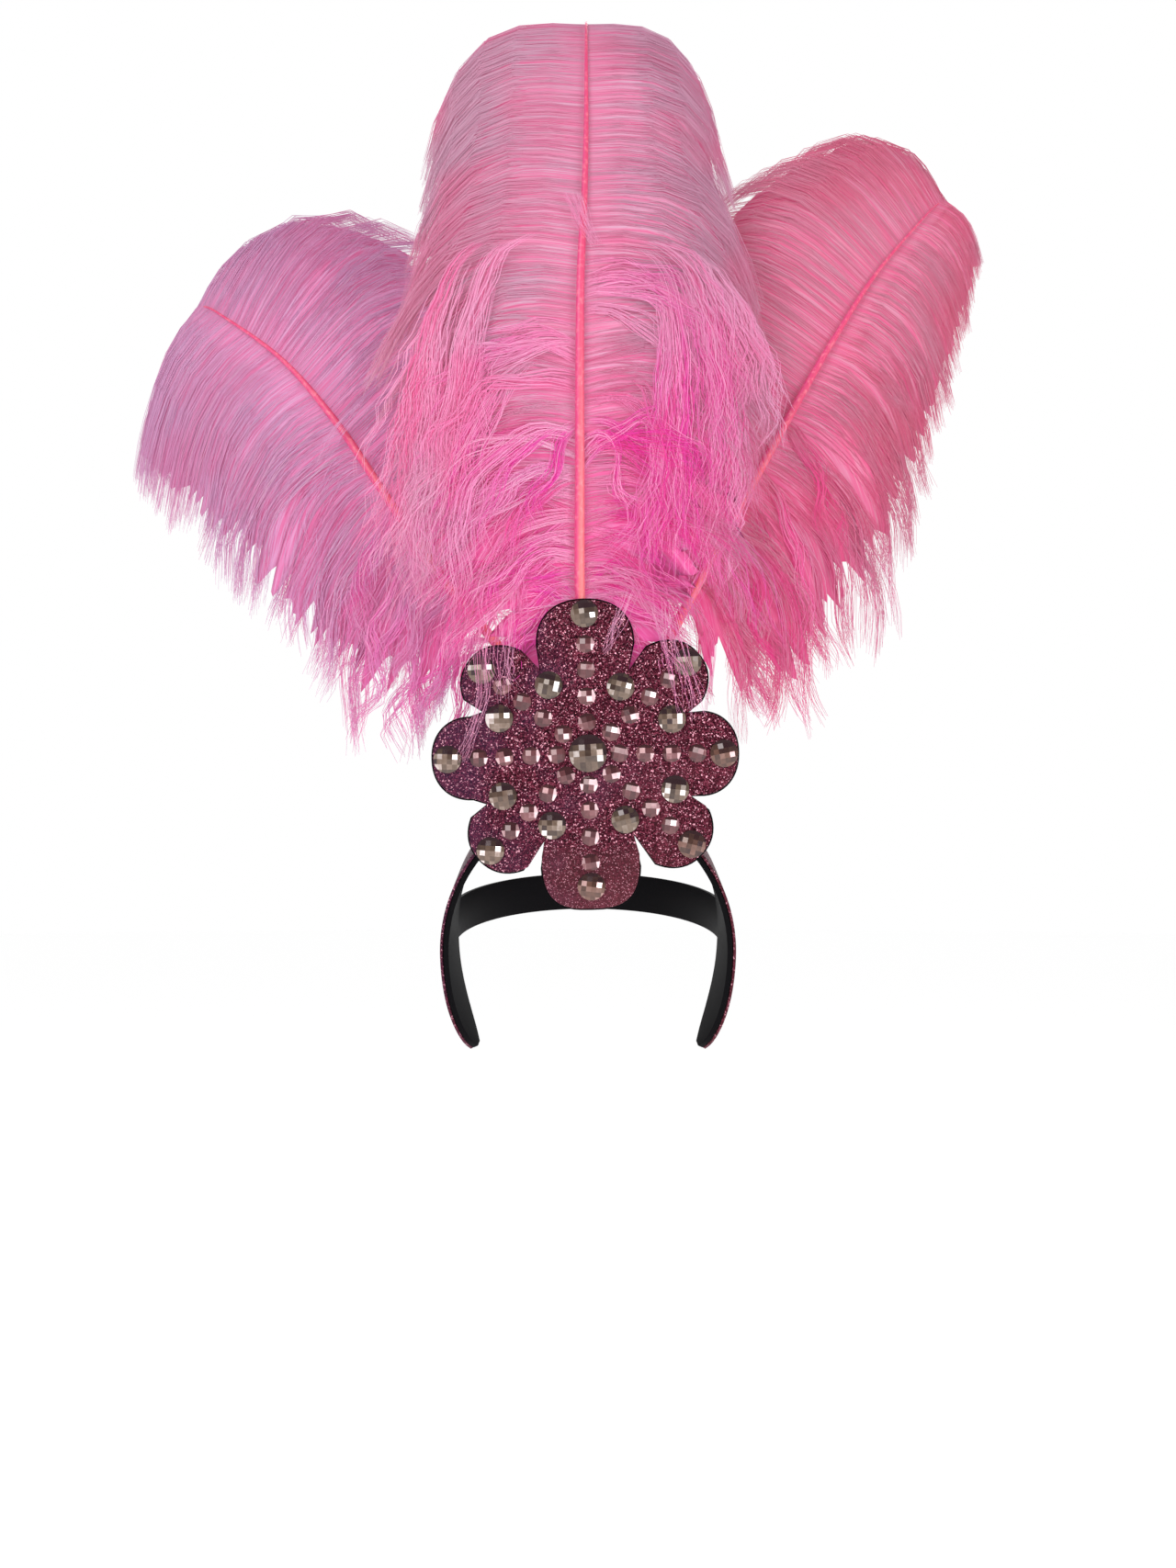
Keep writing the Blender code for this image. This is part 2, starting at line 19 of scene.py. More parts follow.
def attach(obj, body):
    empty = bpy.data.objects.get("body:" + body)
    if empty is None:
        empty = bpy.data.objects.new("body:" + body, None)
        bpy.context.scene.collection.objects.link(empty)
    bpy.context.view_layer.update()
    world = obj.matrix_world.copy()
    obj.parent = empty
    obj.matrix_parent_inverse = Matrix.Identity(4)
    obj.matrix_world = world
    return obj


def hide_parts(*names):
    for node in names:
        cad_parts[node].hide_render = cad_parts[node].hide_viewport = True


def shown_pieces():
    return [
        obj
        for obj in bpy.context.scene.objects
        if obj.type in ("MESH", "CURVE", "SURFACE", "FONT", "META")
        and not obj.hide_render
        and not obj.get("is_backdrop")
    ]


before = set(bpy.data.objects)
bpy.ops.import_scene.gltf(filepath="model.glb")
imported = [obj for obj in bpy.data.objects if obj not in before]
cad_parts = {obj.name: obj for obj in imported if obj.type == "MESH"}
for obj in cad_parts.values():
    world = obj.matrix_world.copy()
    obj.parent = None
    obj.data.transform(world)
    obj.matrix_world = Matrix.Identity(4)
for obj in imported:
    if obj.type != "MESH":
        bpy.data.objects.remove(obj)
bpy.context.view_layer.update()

log = logging.getLogger("headdress")

MM = 0.001
GAP = 0.3
BODY = "root"
SMOOTH_DEGREES = 50.0
TURN = 6.28
DOWN = np.array((0.0, 0.0, -1.0))
FRONT = np.array((0.0, -1.0, 0.0))
SIDEWAYS = np.array((1.0, 0.0, 0.0))

Colour = tuple[float, float, float]
Spot = tuple[float, float]
Place = tuple[float, float, float]
Stops = Sequence[tuple[float, Colour]]
Profile = list[Vector]
Random = np.random.Generator
Shape = bmesh.types.BMesh
Mesh = bpy.types.Mesh


class Slot(Enum):
    """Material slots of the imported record."""

    GLITTER = "glitter_foam"
    FOAM = "black_foam"
    LINING = "black_lining"
    STONE = "acrylic_stone"
    QUILL = "plume_quill"
    BARBS = "plume_barbs"


class Side(Enum):
    """The two sides of a vane, as the sign of the way across an upright quill."""

    LEFT = -1
    RIGHT = 1


# Node trees


def operator_pair(operation: str) -> tuple[Callable[..., "Wire"], Callable[..., "Wire"]]:
    """Two methods that add a Math node for an operator and for its reflected form.

    Args:
        operation: the node's operation.

    Returns:
        The operator's method and the reflected one.
    """

    def forward(self: "Wire", other: Any) -> "Wire":
        """self, the operator, other."""
        return self.nodes.maths(operation, self, other)

    def reflected(self: "Wire", other: Any) -> "Wire":
        """other, the operator, self."""
        return self.nodes.maths(operation, other, self)

    return forward, reflected


class Wire:
    """An output socket that can be written in sums, so that an expression adds its own nodes."""

    def __init__(self, nodes: "Nodes", socket: bpy.types.NodeSocket) -> None:
        """Keeps the tree's builder and the output that is wrapped."""
        self.nodes = nodes
        self.socket = socket

    __add__, __radd__ = operator_pair("ADD")
    __sub__, __rsub__ = operator_pair("SUBTRACT")
    __mul__, __rmul__ = operator_pair("MULTIPLY")
    __pow__ = operator_pair("POWER")[0]

    def sine(self) -> "Wire":
        """Sine of an angle in radians."""
        return self.nodes.maths("SINE", self)

    def above(self, limit: float) -> "Wire":
        """1 where the value is over the limit, otherwise 0."""
        return self.nodes.maths("GREATER_THAN", self, limit)

    def between(self, low: float, high: float) -> "Wire":
        """The value's place between low and high, from 0 to 1, eased at both ends.

        Args:
            low: value that gives 0.
            high: value that gives 1.

        Returns:
            The eased share.
        """
        return self.nodes.add(
            "ShaderNodeMapRange",
            {"interpolation_type": "SMOOTHSTEP"},
            {"Value": self, "From Min": low, "From Max": high},
        )


class Nodes:
    """Builds one node tree. Every node comes from add, apart from the sums of Wire."""

    def __init__(self, tree: bpy.types.NodeTree) -> None:
        """Keeps the shader or Geometry Nodes tree that the nodes go into."""
        self.tree = tree

    @staticmethod
    def _find(sockets: Any, key: int | str) -> bpy.types.NodeSocket:
        """A socket by number, identifier or name.

        Args:
            sockets: a node's inputs or outputs.
            key: what to look for.

        Returns:
            The first socket that fits.
        """
        if isinstance(key, int):
            return sockets[key]
        return next(
            (socket for socket in sockets if socket.identifier == key),
            next((socket for socket in sockets if socket.name == key), None),
        )

    def link(self, value: Any, socket: bpy.types.NodeSocket) -> None:
        """Feeds a socket with a wire or a value.

        Args:
            value: a Wire or a plain value.
            socket: the input that takes it.
        """
        if isinstance(value, Wire):
            self.tree.links.new(value.socket, socket)
        elif isinstance(value, tuple) and socket.type == "RGBA" and len(value) == 3:
            socket.default_value = (*value, 1.0)
        else:
            socket.default_value = value

    def add(
        self,
        kind: str,
        settings: dict[str, Any] | None = None,
        inputs: dict[int | str, Any] | None = None,
        output: int | str = 0,
    ) -> Wire:
        """Adds a node.

        Args:
            kind: the node's type.
            settings: its properties, or a ramp's stops, which are set first.
            inputs: a value or a wire for each socket.
            output: the output that is handed back.

        Returns:
            The wanted output.
        """
        node = self.tree.nodes.new(kind)
        for name, value in (settings or {}).items():
            if name == "stops":
                self._set_stops(node.color_ramp, value)
            else:
                setattr(node, name, value)
        for key, value in (inputs or {}).items():
            self.link(value, self._find(node.inputs, key))
        return Wire(self, self._find(node.outputs, output)) if node.outputs else None

    @staticmethod
    def _set_stops(ramp: bpy.types.ColorRamp, stops: Stops) -> None:
        """Gives a ramp its stops.

        Args:
            ramp: the ramp.
            stops: place and colour of each stop, in order.
        """
        while len(ramp.elements) < len(stops):
            ramp.elements.new(1.0)
        for element, (place, colour) in zip(ramp.elements, stops):
            element.position = place
            element.color = (*colour, 1.0)

    def maths(self, operation: str, *terms: Any) -> Wire:
        """Adds a Math node, or a Vector Math node where a term is a vector.

        Args:
            operation: the node's operation.
            terms: numbers, tuples or wires.

        Returns:
            The result.
        """
        vectors = [self._is_vector(term) for term in terms]
        if not any(vectors):
            return self.add("ShaderNodeMath", {"operation": operation}, dict(enumerate(terms)))
        if operation == "MULTIPLY" and not all(vectors):
            vector, factor = terms if vectors[0] else reversed(terms)
            return self.add("ShaderNodeVectorMath", {"operation": "SCALE"}, {0: vector, "Scale": factor})
        spread = [(term,) * 3 if isinstance(term, (int, float)) else term for term in terms]
        return self.add("ShaderNodeVectorMath", {"operation": operation}, dict(enumerate(spread)))

    @staticmethod
    def _is_vector(term: Any) -> bool:
        """Whether a term is a vector or colour."""
        return isinstance(term, tuple) or isinstance(term, Wire) and term.socket.type in ("VECTOR", "RGBA")

    def noise(self, vector: Wire, scale: float, detail: float = 2.0, output: str = "Fac") -> Wire:
        """Smooth noise: "Fac" gives a value and "Color" a vector, and detail is its finer layers."""
        inputs = {"Vector": vector, "Scale": scale, "Detail": detail}
        return self.add("ShaderNodeTexNoise", {}, inputs, output)

    def bump(self, height: Wire, distance: float, strength: float) -> Wire:
        """A normal that follows a height, whose full distance is given in metres."""
        inputs = {"Height": height, "Distance": distance, "Strength": strength}
        return self.add("ShaderNodeBump", {}, inputs, "Normal")

    def mix(self, factor: Any, first: Any, second: Any) -> Wire:
        """A colour between two.

        Args:
            factor: 0 for the first and 1 for the second.
            first: a colour or wire.
            second: a colour or wire.

        Returns:
            The mixed colour.
        """
        return self.add(
            "ShaderNodeMix",
            {"data_type": "RGBA", "clamp_factor": True},
            {"Factor_Float": factor, "A_Color": first, "B_Color": second},
            "Result_Color",
        )

    def ramp(self, value: Wire, stops: Stops, stepped: bool = False) -> Wire:
        """A colour read from a ramp.

        Args:
            value: the place on the ramp.
            stops: place and colour of each stop.
            stepped: whether the colours change without blending.

        Returns:
            The colour.
        """
        wire = self.add("ShaderNodeValToRGB", {"stops": stops}, {"Fac": value})
        wire.socket.node.color_ramp.interpolation = "CONSTANT" if stepped else "LINEAR"
        return wire

    def attribute(self, name: str, output: str = "Fac") -> Wire:
        """A named attribute of the mesh, read in a shader."""
        return self.add("ShaderNodeAttribute", {"attribute_name": name}, output=output)

    def place(self) -> Wire:
        """Object coordinates, in metres."""
        return self.add("ShaderNodeTexCoord", output="Object")


# Finishes


@dataclass(frozen=True)
class Finish:
    """A procedural finish. Each kind adds its own nodes."""

    name: str

    def make(self) -> bpy.types.Material:
        """Builds the material, or hands back the one that is already there.

        Returns:
            The material.
        """
        found = bpy.data.materials.get(self.name)
        if found:
            return found
        material = bpy.data.materials.new(self.name)
        material.use_nodes = True
        shader = material.node_tree.nodes["Principled BSDF"]
        nodes = Nodes(material.node_tree)
        for key, value in self.sockets(nodes).items():
            nodes.link(value, shader.inputs[key])
        return material

    def sockets(self, nodes: Nodes) -> dict[str, Any]:
        """Values and wires for the shader's sockets.

        Args:
            nodes: the material's tree.

        Returns:
            One value or wire for each named socket.
        """
        raise NotImplementedError


@dataclass(frozen=True)
class GlitterFinish(Finish):
    """Coarse glitter on foam: flat flakes in two sizes, each with its own tilt and a random brightness that
    is partly the flakes' own colour and partly painted glints. The colour also carries painted light by
    place: violet towards the left, rose towards the right and the bottom, and an evener bottom petal.
    """

    flake: float = 0.68
    fine: float = 0.42
    shade: float = 1.0
    tilt: float = 0.5

    # Flake colours from dark to pale; the top stop is a painted glint on the brightest flakes.
    STOPS = (
        (0.0, (0.016, 0.001, 0.004)),
        (0.40, (0.078, 0.008, 0.021)),
        (0.73, (0.195, 0.034, 0.062)),
        (0.93, (0.850, 0.390, 0.490)),
    )
    # VIOLET and ROSE are painted light: the left turns violet and the right and the bottom rose, as the light
    # falls differently on them.
    VIOLET = (0.085, 0.032, 0.090)
    ROSE = (0.190, 0.045, 0.060)
    # CALM is painted light: the bottom petal is mixed towards this even colour, for the softer, less shaded
    # light that a downward-tilted petal catches.
    CALM = (0.105, 0.030, 0.038)
    CALM_HALF_WIDTH = 0.028
    CALM_FALL = (0.022, 0.034)
    CALM_SHARE = 0.40
    VIOLET_SHARE = 0.32
    ROSE_SHARE = 0.30
    FINE_SHARE = 0.45
    DRIFT_SCALE = 30.0
    METAL = (0.30, 0.35)
    ROUGHNESS = 0.36

    def flakes(self, nodes: Nodes, place: Wire, size: float) -> Wire:
        """A random colour for each flake of a size.

        Args:
            nodes: the material's tree.
            place: the place on the piece.
            size: a flake's width, in mm.

        Returns:
            The colour.
        """
        return nodes.add(
            "ShaderNodeTexVoronoi",
            {"voronoi_dimensions": "3D"},
            {"Vector": place, "Scale": 1.0 / (size * MM)},
            "Color",
        )

    def sockets(self, nodes: Nodes) -> dict[str, Any]:
        """Values and wires for the shader's sockets.

        Args:
            nodes: the material's tree.

        Returns:
            One value or wire for each named socket.
        """
        place = nodes.place()
        coarse = self.flakes(nodes, place, self.flake)
        fine = self.flakes(nodes, place, self.fine)
        choice = nodes.add("ShaderNodeSeparateColor", {}, {"Color": coarse}, "Red")
        small = nodes.add("ShaderNodeSeparateColor", {}, {"Color": fine}, "Red")
        sort = nodes.add("ShaderNodeSeparateColor", {}, {"Color": coarse}, "Blue")
        across = nodes.add("ShaderNodeSeparateXYZ", {}, {"Vector": place}, "X")
        height = nodes.add("ShaderNodeSeparateXYZ", {}, {"Vector": place}, "Z")
        # On the bottom petal the flakes are finer, and mixing towards CALM paints its softer, less shaded
        # light.
        low = (0.0 - height).between(*self.CALM_FALL)
        low = low * (1.0 - (across * across).above(self.CALM_HALF_WIDTH**2))
        mixed = nodes.mix(
            (sort + low).above(self.FINE_SHARE),
            nodes.ramp(choice, self.STOPS, stepped=True),
            nodes.ramp(small, self.STOPS, stepped=True),
        )
        drift = nodes.noise(place, self.DRIFT_SCALE, 2.0)
        # Painted light: violet towards the left, rose towards the right and the bottom.
        violet = (drift - across * 3.0).between(0.46, 0.80)
        rose = (drift + across * 2.0 - height * 4.0).between(0.46, 0.95)
        calm = nodes.mix(low * self.CALM_SHARE, mixed, self.CALM)
        rose_share = rose * self.ROSE_SHARE
        light_tinted = nodes.mix(rose_share, nodes.mix(violet * self.VIOLET_SHARE, calm, self.VIOLET), self.ROSE)
        normal = nodes.add("ShaderNodeNewGeometry", output="Normal")
        tilted = normal + (coarse - (0.5, 0.5, 0.5)) * self.tilt
        return {
            "Base Color": nodes.maths("MULTIPLY", light_tinted, (self.shade,) * 3),
            "Metallic": self.METAL[0] + sort * self.METAL[1],
            "Roughness": self.ROUGHNESS,
            "Specular IOR Level": 0.1,
            "Normal": nodes.add("ShaderNodeVectorMath", {"operation": "NORMALIZE"}, {0: tilted}),
        }


@dataclass(frozen=True)
class FoamFinish(Finish):
    """Black foam or cloth with a fine grain."""

    colour: Colour = (0.0030, 0.0028, 0.0034)
    roughness: float = 0.72
    grain: float = 0.5
    depth: float = 0.08
    lighter: float = 2.2
    relief: float = 0.6

    def sockets(self, nodes: Nodes) -> dict[str, Any]:
        """Values and wires for the shader's sockets.

        Args:
            nodes: the material's tree.

        Returns:
            One value or wire for each named socket.
        """
        grain = nodes.noise(nodes.place(), 1.0 / (self.grain * MM), 3.0)
        lighter = tuple(channel * self.lighter for channel in self.colour)
        return {
            "Base Color": nodes.mix(grain.between(0.35, 0.75), self.colour, lighter),
            "Roughness": self.roughness - 0.1 + 0.2 * grain,
            "Specular IOR Level": 0.03,
            "Normal": nodes.bump(grain, self.depth * MM, self.relief),
        }


@dataclass(frozen=True)
class StoneFinish(Finish):
    """Clear acrylic with a foil back, whose facets carry painted light: painted shade makes some dark, the
    middles are grey-beige, and painted reflections and glints make some bright; some stones are rosier,
    partly their own pink and partly painted reflection.
    """

    stops: Stops = ()
    rose: Colour = (1.0, 0.62, 0.64)
    cloud_scale: float = 420.0
    cloud_share: float = 0.22
    metal: float = 0.25
    roughness: float = 0.10
    coat: float = 0.5
    coat_roughness: float = 0.03
    glow: float = 0.12

    def sockets(self, nodes: Nodes) -> dict[str, Any]:
        """Values and wires for the shader's sockets.

        Args:
            nodes: the material's tree.

        Returns:
            One value or wire for each named socket.
        """
        # facet holds each facet's painted light: painted shade, painted reflections and glints.
        facet = nodes.attribute("facet")
        cloud = nodes.noise(nodes.place(), self.cloud_scale, 1.0) - 0.5
        tone = nodes.ramp(facet + cloud * self.cloud_share, self.stops)
        colour = nodes.mix(nodes.attribute("rosy"), tone, nodes.maths("MULTIPLY", tone, self.rose))
        return {
            "Base Color": colour,
            "Metallic": self.metal,
            "Roughness": self.roughness,
            "Coat Weight": self.coat,
            "Coat Roughness": self.coat_roughness,
            # Painted glow: the facets give off light of their own.
            "Emission Color": colour,
            "Emission Strength": self.glow,
        }


@dataclass(frozen=True)
class QuillFinish(Finish):
    """A dyed quill: coral on its front and darker towards the tip, with pale streaks; its left side, as seen
    from the front, is darkened by painted shade.
    """

    coral: Colour = (0.86, 0.19, 0.20)
    upper: Colour = (0.66, 0.060, 0.165)
    # side is the colour of the painted shade on the quill's left side.
    side: Colour = (0.66, 0.06, 0.20)
    streaked: Colour = (1.0, 0.45, 0.45)
    streak_scale: float = 420.0
    streak_share: float = 0.3
    streak_depth: float = 0.00015
    glow: float = 0.14
    roughness: float = 0.42

    def sockets(self, nodes: Nodes) -> dict[str, Any]:
        """Values and wires for the shader's sockets.

        Args:
            nodes: the material's tree.

        Returns:
            One value or wire for each named socket.
        """
        share = nodes.attribute("share")
        across = nodes.attribute("across")
        streak = nodes.noise(nodes.place(), self.streak_scale, 2.0)
        tone = nodes.mix(share.between(0.12, 0.52), self.coral, self.upper)
        # Painted shade: where across is low, on the quill's left side, the colour turns to side.
        edge = nodes.mix(across.between(0.20, 0.55), self.side, tone)
        colour = nodes.mix(streak.between(0.45, 0.8) * self.streak_share, edge, self.streaked)
        return {
            "Base Color": colour,
            # Painted glow: the quill gives off light of its own.
            "Emission Color": colour,
            "Emission Strength": self.glow,
            "Roughness": self.roughness,
            "Subsurface Weight": 0.1,
            "Subsurface Scale": 0.002,
            "Normal": nodes.bump(streak, self.streak_depth, 0.5),
        }


@dataclass(frozen=True)
class BarbFinish(Finish):
    """Dyed ostrich barbs, from dusty pink to hot pink; their glow is painted light that stands in for the
    light that passes through them and lifts their shade.

    pale and flushed light them where they are cool and hot, deep is their shade, misty their tips, and
    blaze the colour of the hot barbs' painted glow.
    """

    dusty: Colour = (0.53, 0.285, 0.40)
    warm: Colour = (0.60, 0.21, 0.34)
    hot: Colour = (0.74, 0.045, 0.32)
    pale: Colour = (0.66, 0.40, 0.52)
    flushed: Colour = (0.86, 0.33, 0.58)
    deep: Colour = (0.62, 0.055, 0.20)
    misty: Colour = (0.60, 0.36, 0.44)
    blaze: Colour = (1.0, 0.08, 0.45)
    glow: float = 0.24
    blaze_share: float = 0.3
    tone_share: float = 0.45
    lock_share: float = 0.55
    deep_share: float = 0.60
    cloud_scale: float = 15.0
    roughness: float = 0.62

    def sockets(self, nodes: Nodes) -> dict[str, Any]:
        """Values and wires for the shader's sockets.

        Args:
            nodes: the material's tree.

        Returns:
            One value or wire for each named socket.
        """
        tone = nodes.attribute("tone")
        pink = nodes.attribute("pink")
        along = nodes.attribute("along")
        warmth = (pink * along.between(-0.15, 0.45)).between(0.0, 1.0)
        shade = tone * self.tone_share + nodes.attribute("lock") * self.lock_share
        cloud = nodes.noise(nodes.place(), self.cloud_scale, 2.0).between(0.40, 0.62)
        heated = nodes.mix(warmth, nodes.mix(cloud, self.dusty, self.warm), self.hot)
        lit = nodes.mix(warmth, self.pale, self.flushed)
        light = nodes.mix(shade.between(0.52, 0.85) * (0.45 + 0.40 * warmth), heated, lit)
        dark = nodes.mix((1.0 - shade).between(0.55, 0.90) * self.deep_share, light, self.deep)
        colour = nodes.mix(along.between(0.80, 1.0) * (0.25 - 0.20 * warmth), dark, self.misty)
        return {
            "Base Color": colour,
            "Emission Color": nodes.mix(warmth * self.blaze_share, colour, self.blaze),
            "Emission Strength": self.glow,
            "Roughness": self.roughness,
            "Specular IOR Level": 0.0,
        }


@dataclass(frozen=True)
class WebFinish(Finish):
    """The barbs' own sheet under the loose ones, with combed lines that follow the barbs; the lines carry
    painted shade in the gaps between barbs and painted highlights on them, and the sheet has the dye's
    painted glow.

    fine and broad are how many lines and bands the vane has along the quill and along a barb.
    """

    dye: BarbFinish = BarbFinish("dye")
    fine: tuple[float, float] = (520.0, 2.4)
    broad: tuple[float, float] = (190.0, 1.5)
    hot_share: float = 0.85
    # deep_share and pale_share set how strong the lines' painted shade and painted highlights are.
    deep_share: float = 0.50
    pale_share: float = 0.20
    roughness: float = 0.7
    depth: float = 0.0004
    relief: float = 0.4

    @staticmethod
    def combed(nodes: Nodes, across: Wire, down: Wire, detail: float) -> Wire:
        """Noise that is drawn out along the barbs, from the lines across and the waves down them."""
        return nodes.noise(nodes.add("ShaderNodeCombineXYZ", {}, {"X": across, "Y": down}), 1.0, detail)

    def sockets(self, nodes: Nodes) -> dict[str, Any]:
        """Values and wires for the shader's sockets.

        Args:
            nodes: the material's tree.

        Returns:
            One value or wire for each named socket.
        """
        share = nodes.attribute("share")
        along = nodes.attribute("along")
        lines = self.combed(nodes, share * self.fine[0], along * self.fine[1], 2.0)
        bands = self.combed(nodes, share * self.broad[0], along * self.broad[1], 1.0)
        base = nodes.mix(bands.between(0.35, 0.65), self.dye.dusty, self.dye.warm)
        heated = nodes.mix(nodes.attribute("pink") * self.hot_share, base, self.dye.hot)
        # Painted shade: the gaps between the combed lines turn deep.
        line_shaded = nodes.mix((1.0 - lines).between(0.38, 0.62) * self.deep_share, heated, self.dye.deep)
        # Painted highlights: the lines turn pale.
        colour = nodes.mix(lines.between(0.50, 0.66) * self.pale_share, line_shaded, self.dye.pale)
        return {
            "Base Color": colour,
            # Painted glow: the sheet gives off light of its own.
            "Emission Color": colour,
            "Emission Strength": self.dye.glow,
            "Roughness": self.roughness,
            "Specular IOR Level": 0.0,
            "Normal": nodes.bump(lines, self.depth, self.relief),
        }


@dataclass(frozen=True)
class StudioFinish(Finish):
    """Pale matt paint for the floor."""

    colour: Colour = (0.90, 0.90, 0.90)
    roughness: float = 0.9
    glow: float = 0.62

    def sockets(self, nodes: Nodes) -> dict[str, Any]:
        """Values for the shader's sockets."""
        return {
            "Base Color": self.colour,
            "Roughness": self.roughness,
            "Emission Color": self.colour,
            "Emission Strength": self.glow,
        }


# Ramps for the stones' painted facet light, from painted shade through grey-beige to a painted white glint.
MAIN_STONE_STOPS = (
    (0.0, (0.028, 0.008, 0.012)),
    (0.18, (0.065, 0.040, 0.028)),
    (0.44, (0.165, 0.112, 0.080)),
    (0.62, (0.300, 0.235, 0.195)),
    (0.88, (1.0, 0.96, 0.94)),
)
SMALL_STONE_STOPS = (
    (0.0, (0.050, 0.010, 0.014)),
    (0.26, (0.120, 0.038, 0.044)),
    (0.50, (0.225, 0.090, 0.100)),
    (0.84, (1.0, 0.78, 0.82)),
)

GLITTER = GlitterFinish("glitter on foam")
# The band's glitter is the flower's glitter darkened by shade: painted shade on the band.
BAND_GLITTER = GlitterFinish("glitter on the band", shade=0.8)
FOAM = FoamFinish("black foam")
LINING = FoamFinish("black lining", roughness=0.5, grain=0.35, depth=0.05)
MAIN_STONE = StoneFinish("clear acrylic on foil", MAIN_STONE_STOPS)
SMALL_STONE = StoneFinish("pink acrylic on foil", SMALL_STONE_STOPS)
QUILL_DYE = QuillFinish("dyed quill")
CENTRE_DYE = BarbFinish("candy dye")
# The fluff finishes are lighter copies of the dyes for the tufts, hanging locks and wisps: painted light that
# makes up for the shade the thin loose strands fall into.
CENTRE_FLUFF = BarbFinish(
    "candy fluff",
    dusty=(0.70, 0.33, 0.50),
    warm=(0.76, 0.25, 0.45),
    hot=(0.70, 0.060, 0.36),
    pale=(0.80, 0.46, 0.62),
    flushed=(0.92, 0.42, 0.65),
    deep=(0.74, 0.06, 0.24),
)
LEFT_DYE = BarbFinish(
    "orchid dye",
    dusty=(0.54, 0.28, 0.465),
    warm=(0.57, 0.24, 0.425),
    hot=(0.74, 0.07, 0.34),
    misty=(0.64, 0.42, 0.56),
)
LEFT_FLUFF = BarbFinish("orchid fluff", (0.60, 0.29, 0.49), (0.66, 0.22, 0.44), (0.76, 0.07, 0.38))
RIGHT_DYE = BarbFinish("coral dye", (0.55, 0.205, 0.300), (0.59, 0.155, 0.250), (0.76, 0.055, 0.28))
RIGHT_FLUFF = BarbFinish("coral fluff", (0.62, 0.20, 0.31), (0.68, 0.15, 0.27), (0.78, 0.055, 0.29))
FLOOR_PAINT = StudioFinish("floor paint")


# Meshes


def add_piece(name: str, mesh: Mesh, finish: Finish, slot: Slot, *nodes: str) -> bpy.types.Object:
    """Puts a finished mesh into the scene as a piece of the object.

    Args:
        name: the piece's name.
        mesh: its mesh, with its place in its points.
        finish: what it is dressed with.
        slot: the record's slot that the finish belongs to; not used.
        nodes: the CAD nodes that it stands for.

    Returns:
        The new object.
    """
    obj = bpy.data.objects.new(name, mesh)
    bpy.context.scene.collection.objects.link(obj)
    mesh.materials.clear()
    mesh.materials.append(finish.make())
    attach(obj, BODY)
    if nodes:
        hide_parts(*nodes)
    return obj


def mesh_from_bmesh(name: str, shape: Shape, smooth_degrees: float = 0.0) -> Mesh:
    """Turns a bmesh into a mesh whose faces point outwards.

    Args:
        name: the mesh's name.
        shape: the bmesh, which is freed.
        smooth_degrees: edges flatter than this are shaded smooth.

    Returns:
        The mesh.
    """
    bmesh.ops.recalc_face_normals(shape, faces=shape.faces)
    mesh = bpy.data.meshes.new(name)
    shape.to_mesh(mesh)
    shape.free()
    if smooth_degrees:
        mesh.shade_smooth()
        mesh.set_sharp_from_angle(angle=math.radians(smooth_degrees))
    return mesh


def bmesh_from(points: Any, faces: Any) -> Shape:
    """A bmesh from points in millimetres and faces as point numbers.

    Args:
        points: the points.
        faces: lists of point numbers.

    Returns:
        The bmesh.
    """
    shape = bmesh.new()
    corners = [shape.verts.new(Vector(point) * MM) for point in points]
    for face in faces:
        shape.faces.new([corners[index] for index in face])
    return shape


def swept(profiles: Sequence[Profile]) -> tuple[list[Vector], list[list[int]]]:
    """A solid through closed profiles with the same number of points.

    Args:
        profiles: the profiles in order.

    Returns:
        Its points and faces.
    """
    count = len(profiles[0])
    points = [point for profile in profiles for point in profile]
    faces = [list(range(count))]
    for station in range(len(profiles) - 1):
        low, high = station * count, (station + 1) * count
        for corner in range(count):
            after = (corner + 1) % count
            faces.append([low + corner, high + corner, high + after, low + after])
    faces.append([len(points) - 1 - corner for corner in range(count)])
    return points, faces


def rounded(corners: Sequence[Spot], radius: float) -> list[Spot]:
    """Rounds the corners of a flat profile.

    Args:
        corners: the profile's corners in order.
        radius: how far from each corner its arc starts.

    Returns:
        The rounded profile.
    """
    points, steps = [], 3
    for number, corner in enumerate(corners):
        here = Vector(corner)
        before = Vector(corners[number - 1]) - here
        after = Vector(corners[(number + 1) % len(corners)]) - here
        start = here + before.normalized() * min(radius, before.length * 0.45)
        end = here + after.normalized() * min(radius, after.length * 0.45)
        for step in range(steps + 1):
            t = step / steps
            points.append(tuple(start * (1 - t) ** 2 + here * (2 * t * (1 - t)) + end * t**2))
    return points


def set_attribute(mesh: Mesh, name: str, values: np.ndarray, domain: str = "POINT") -> None:
    """Stores numbers or vectors on a mesh.

    Args:
        mesh: the mesh.
        name: the attribute's name.
        values: one value or one vector for each element.
        domain: POINT or FACE.
    """
    vector = values.ndim == 2
    kind = "FLOAT_VECTOR" if vector else "FLOAT"
    attribute = mesh.attributes.new(name, kind, domain)
    attribute.data.foreach_set("vector" if vector else "value", values.astype(np.float32).ravel())


# Head arch


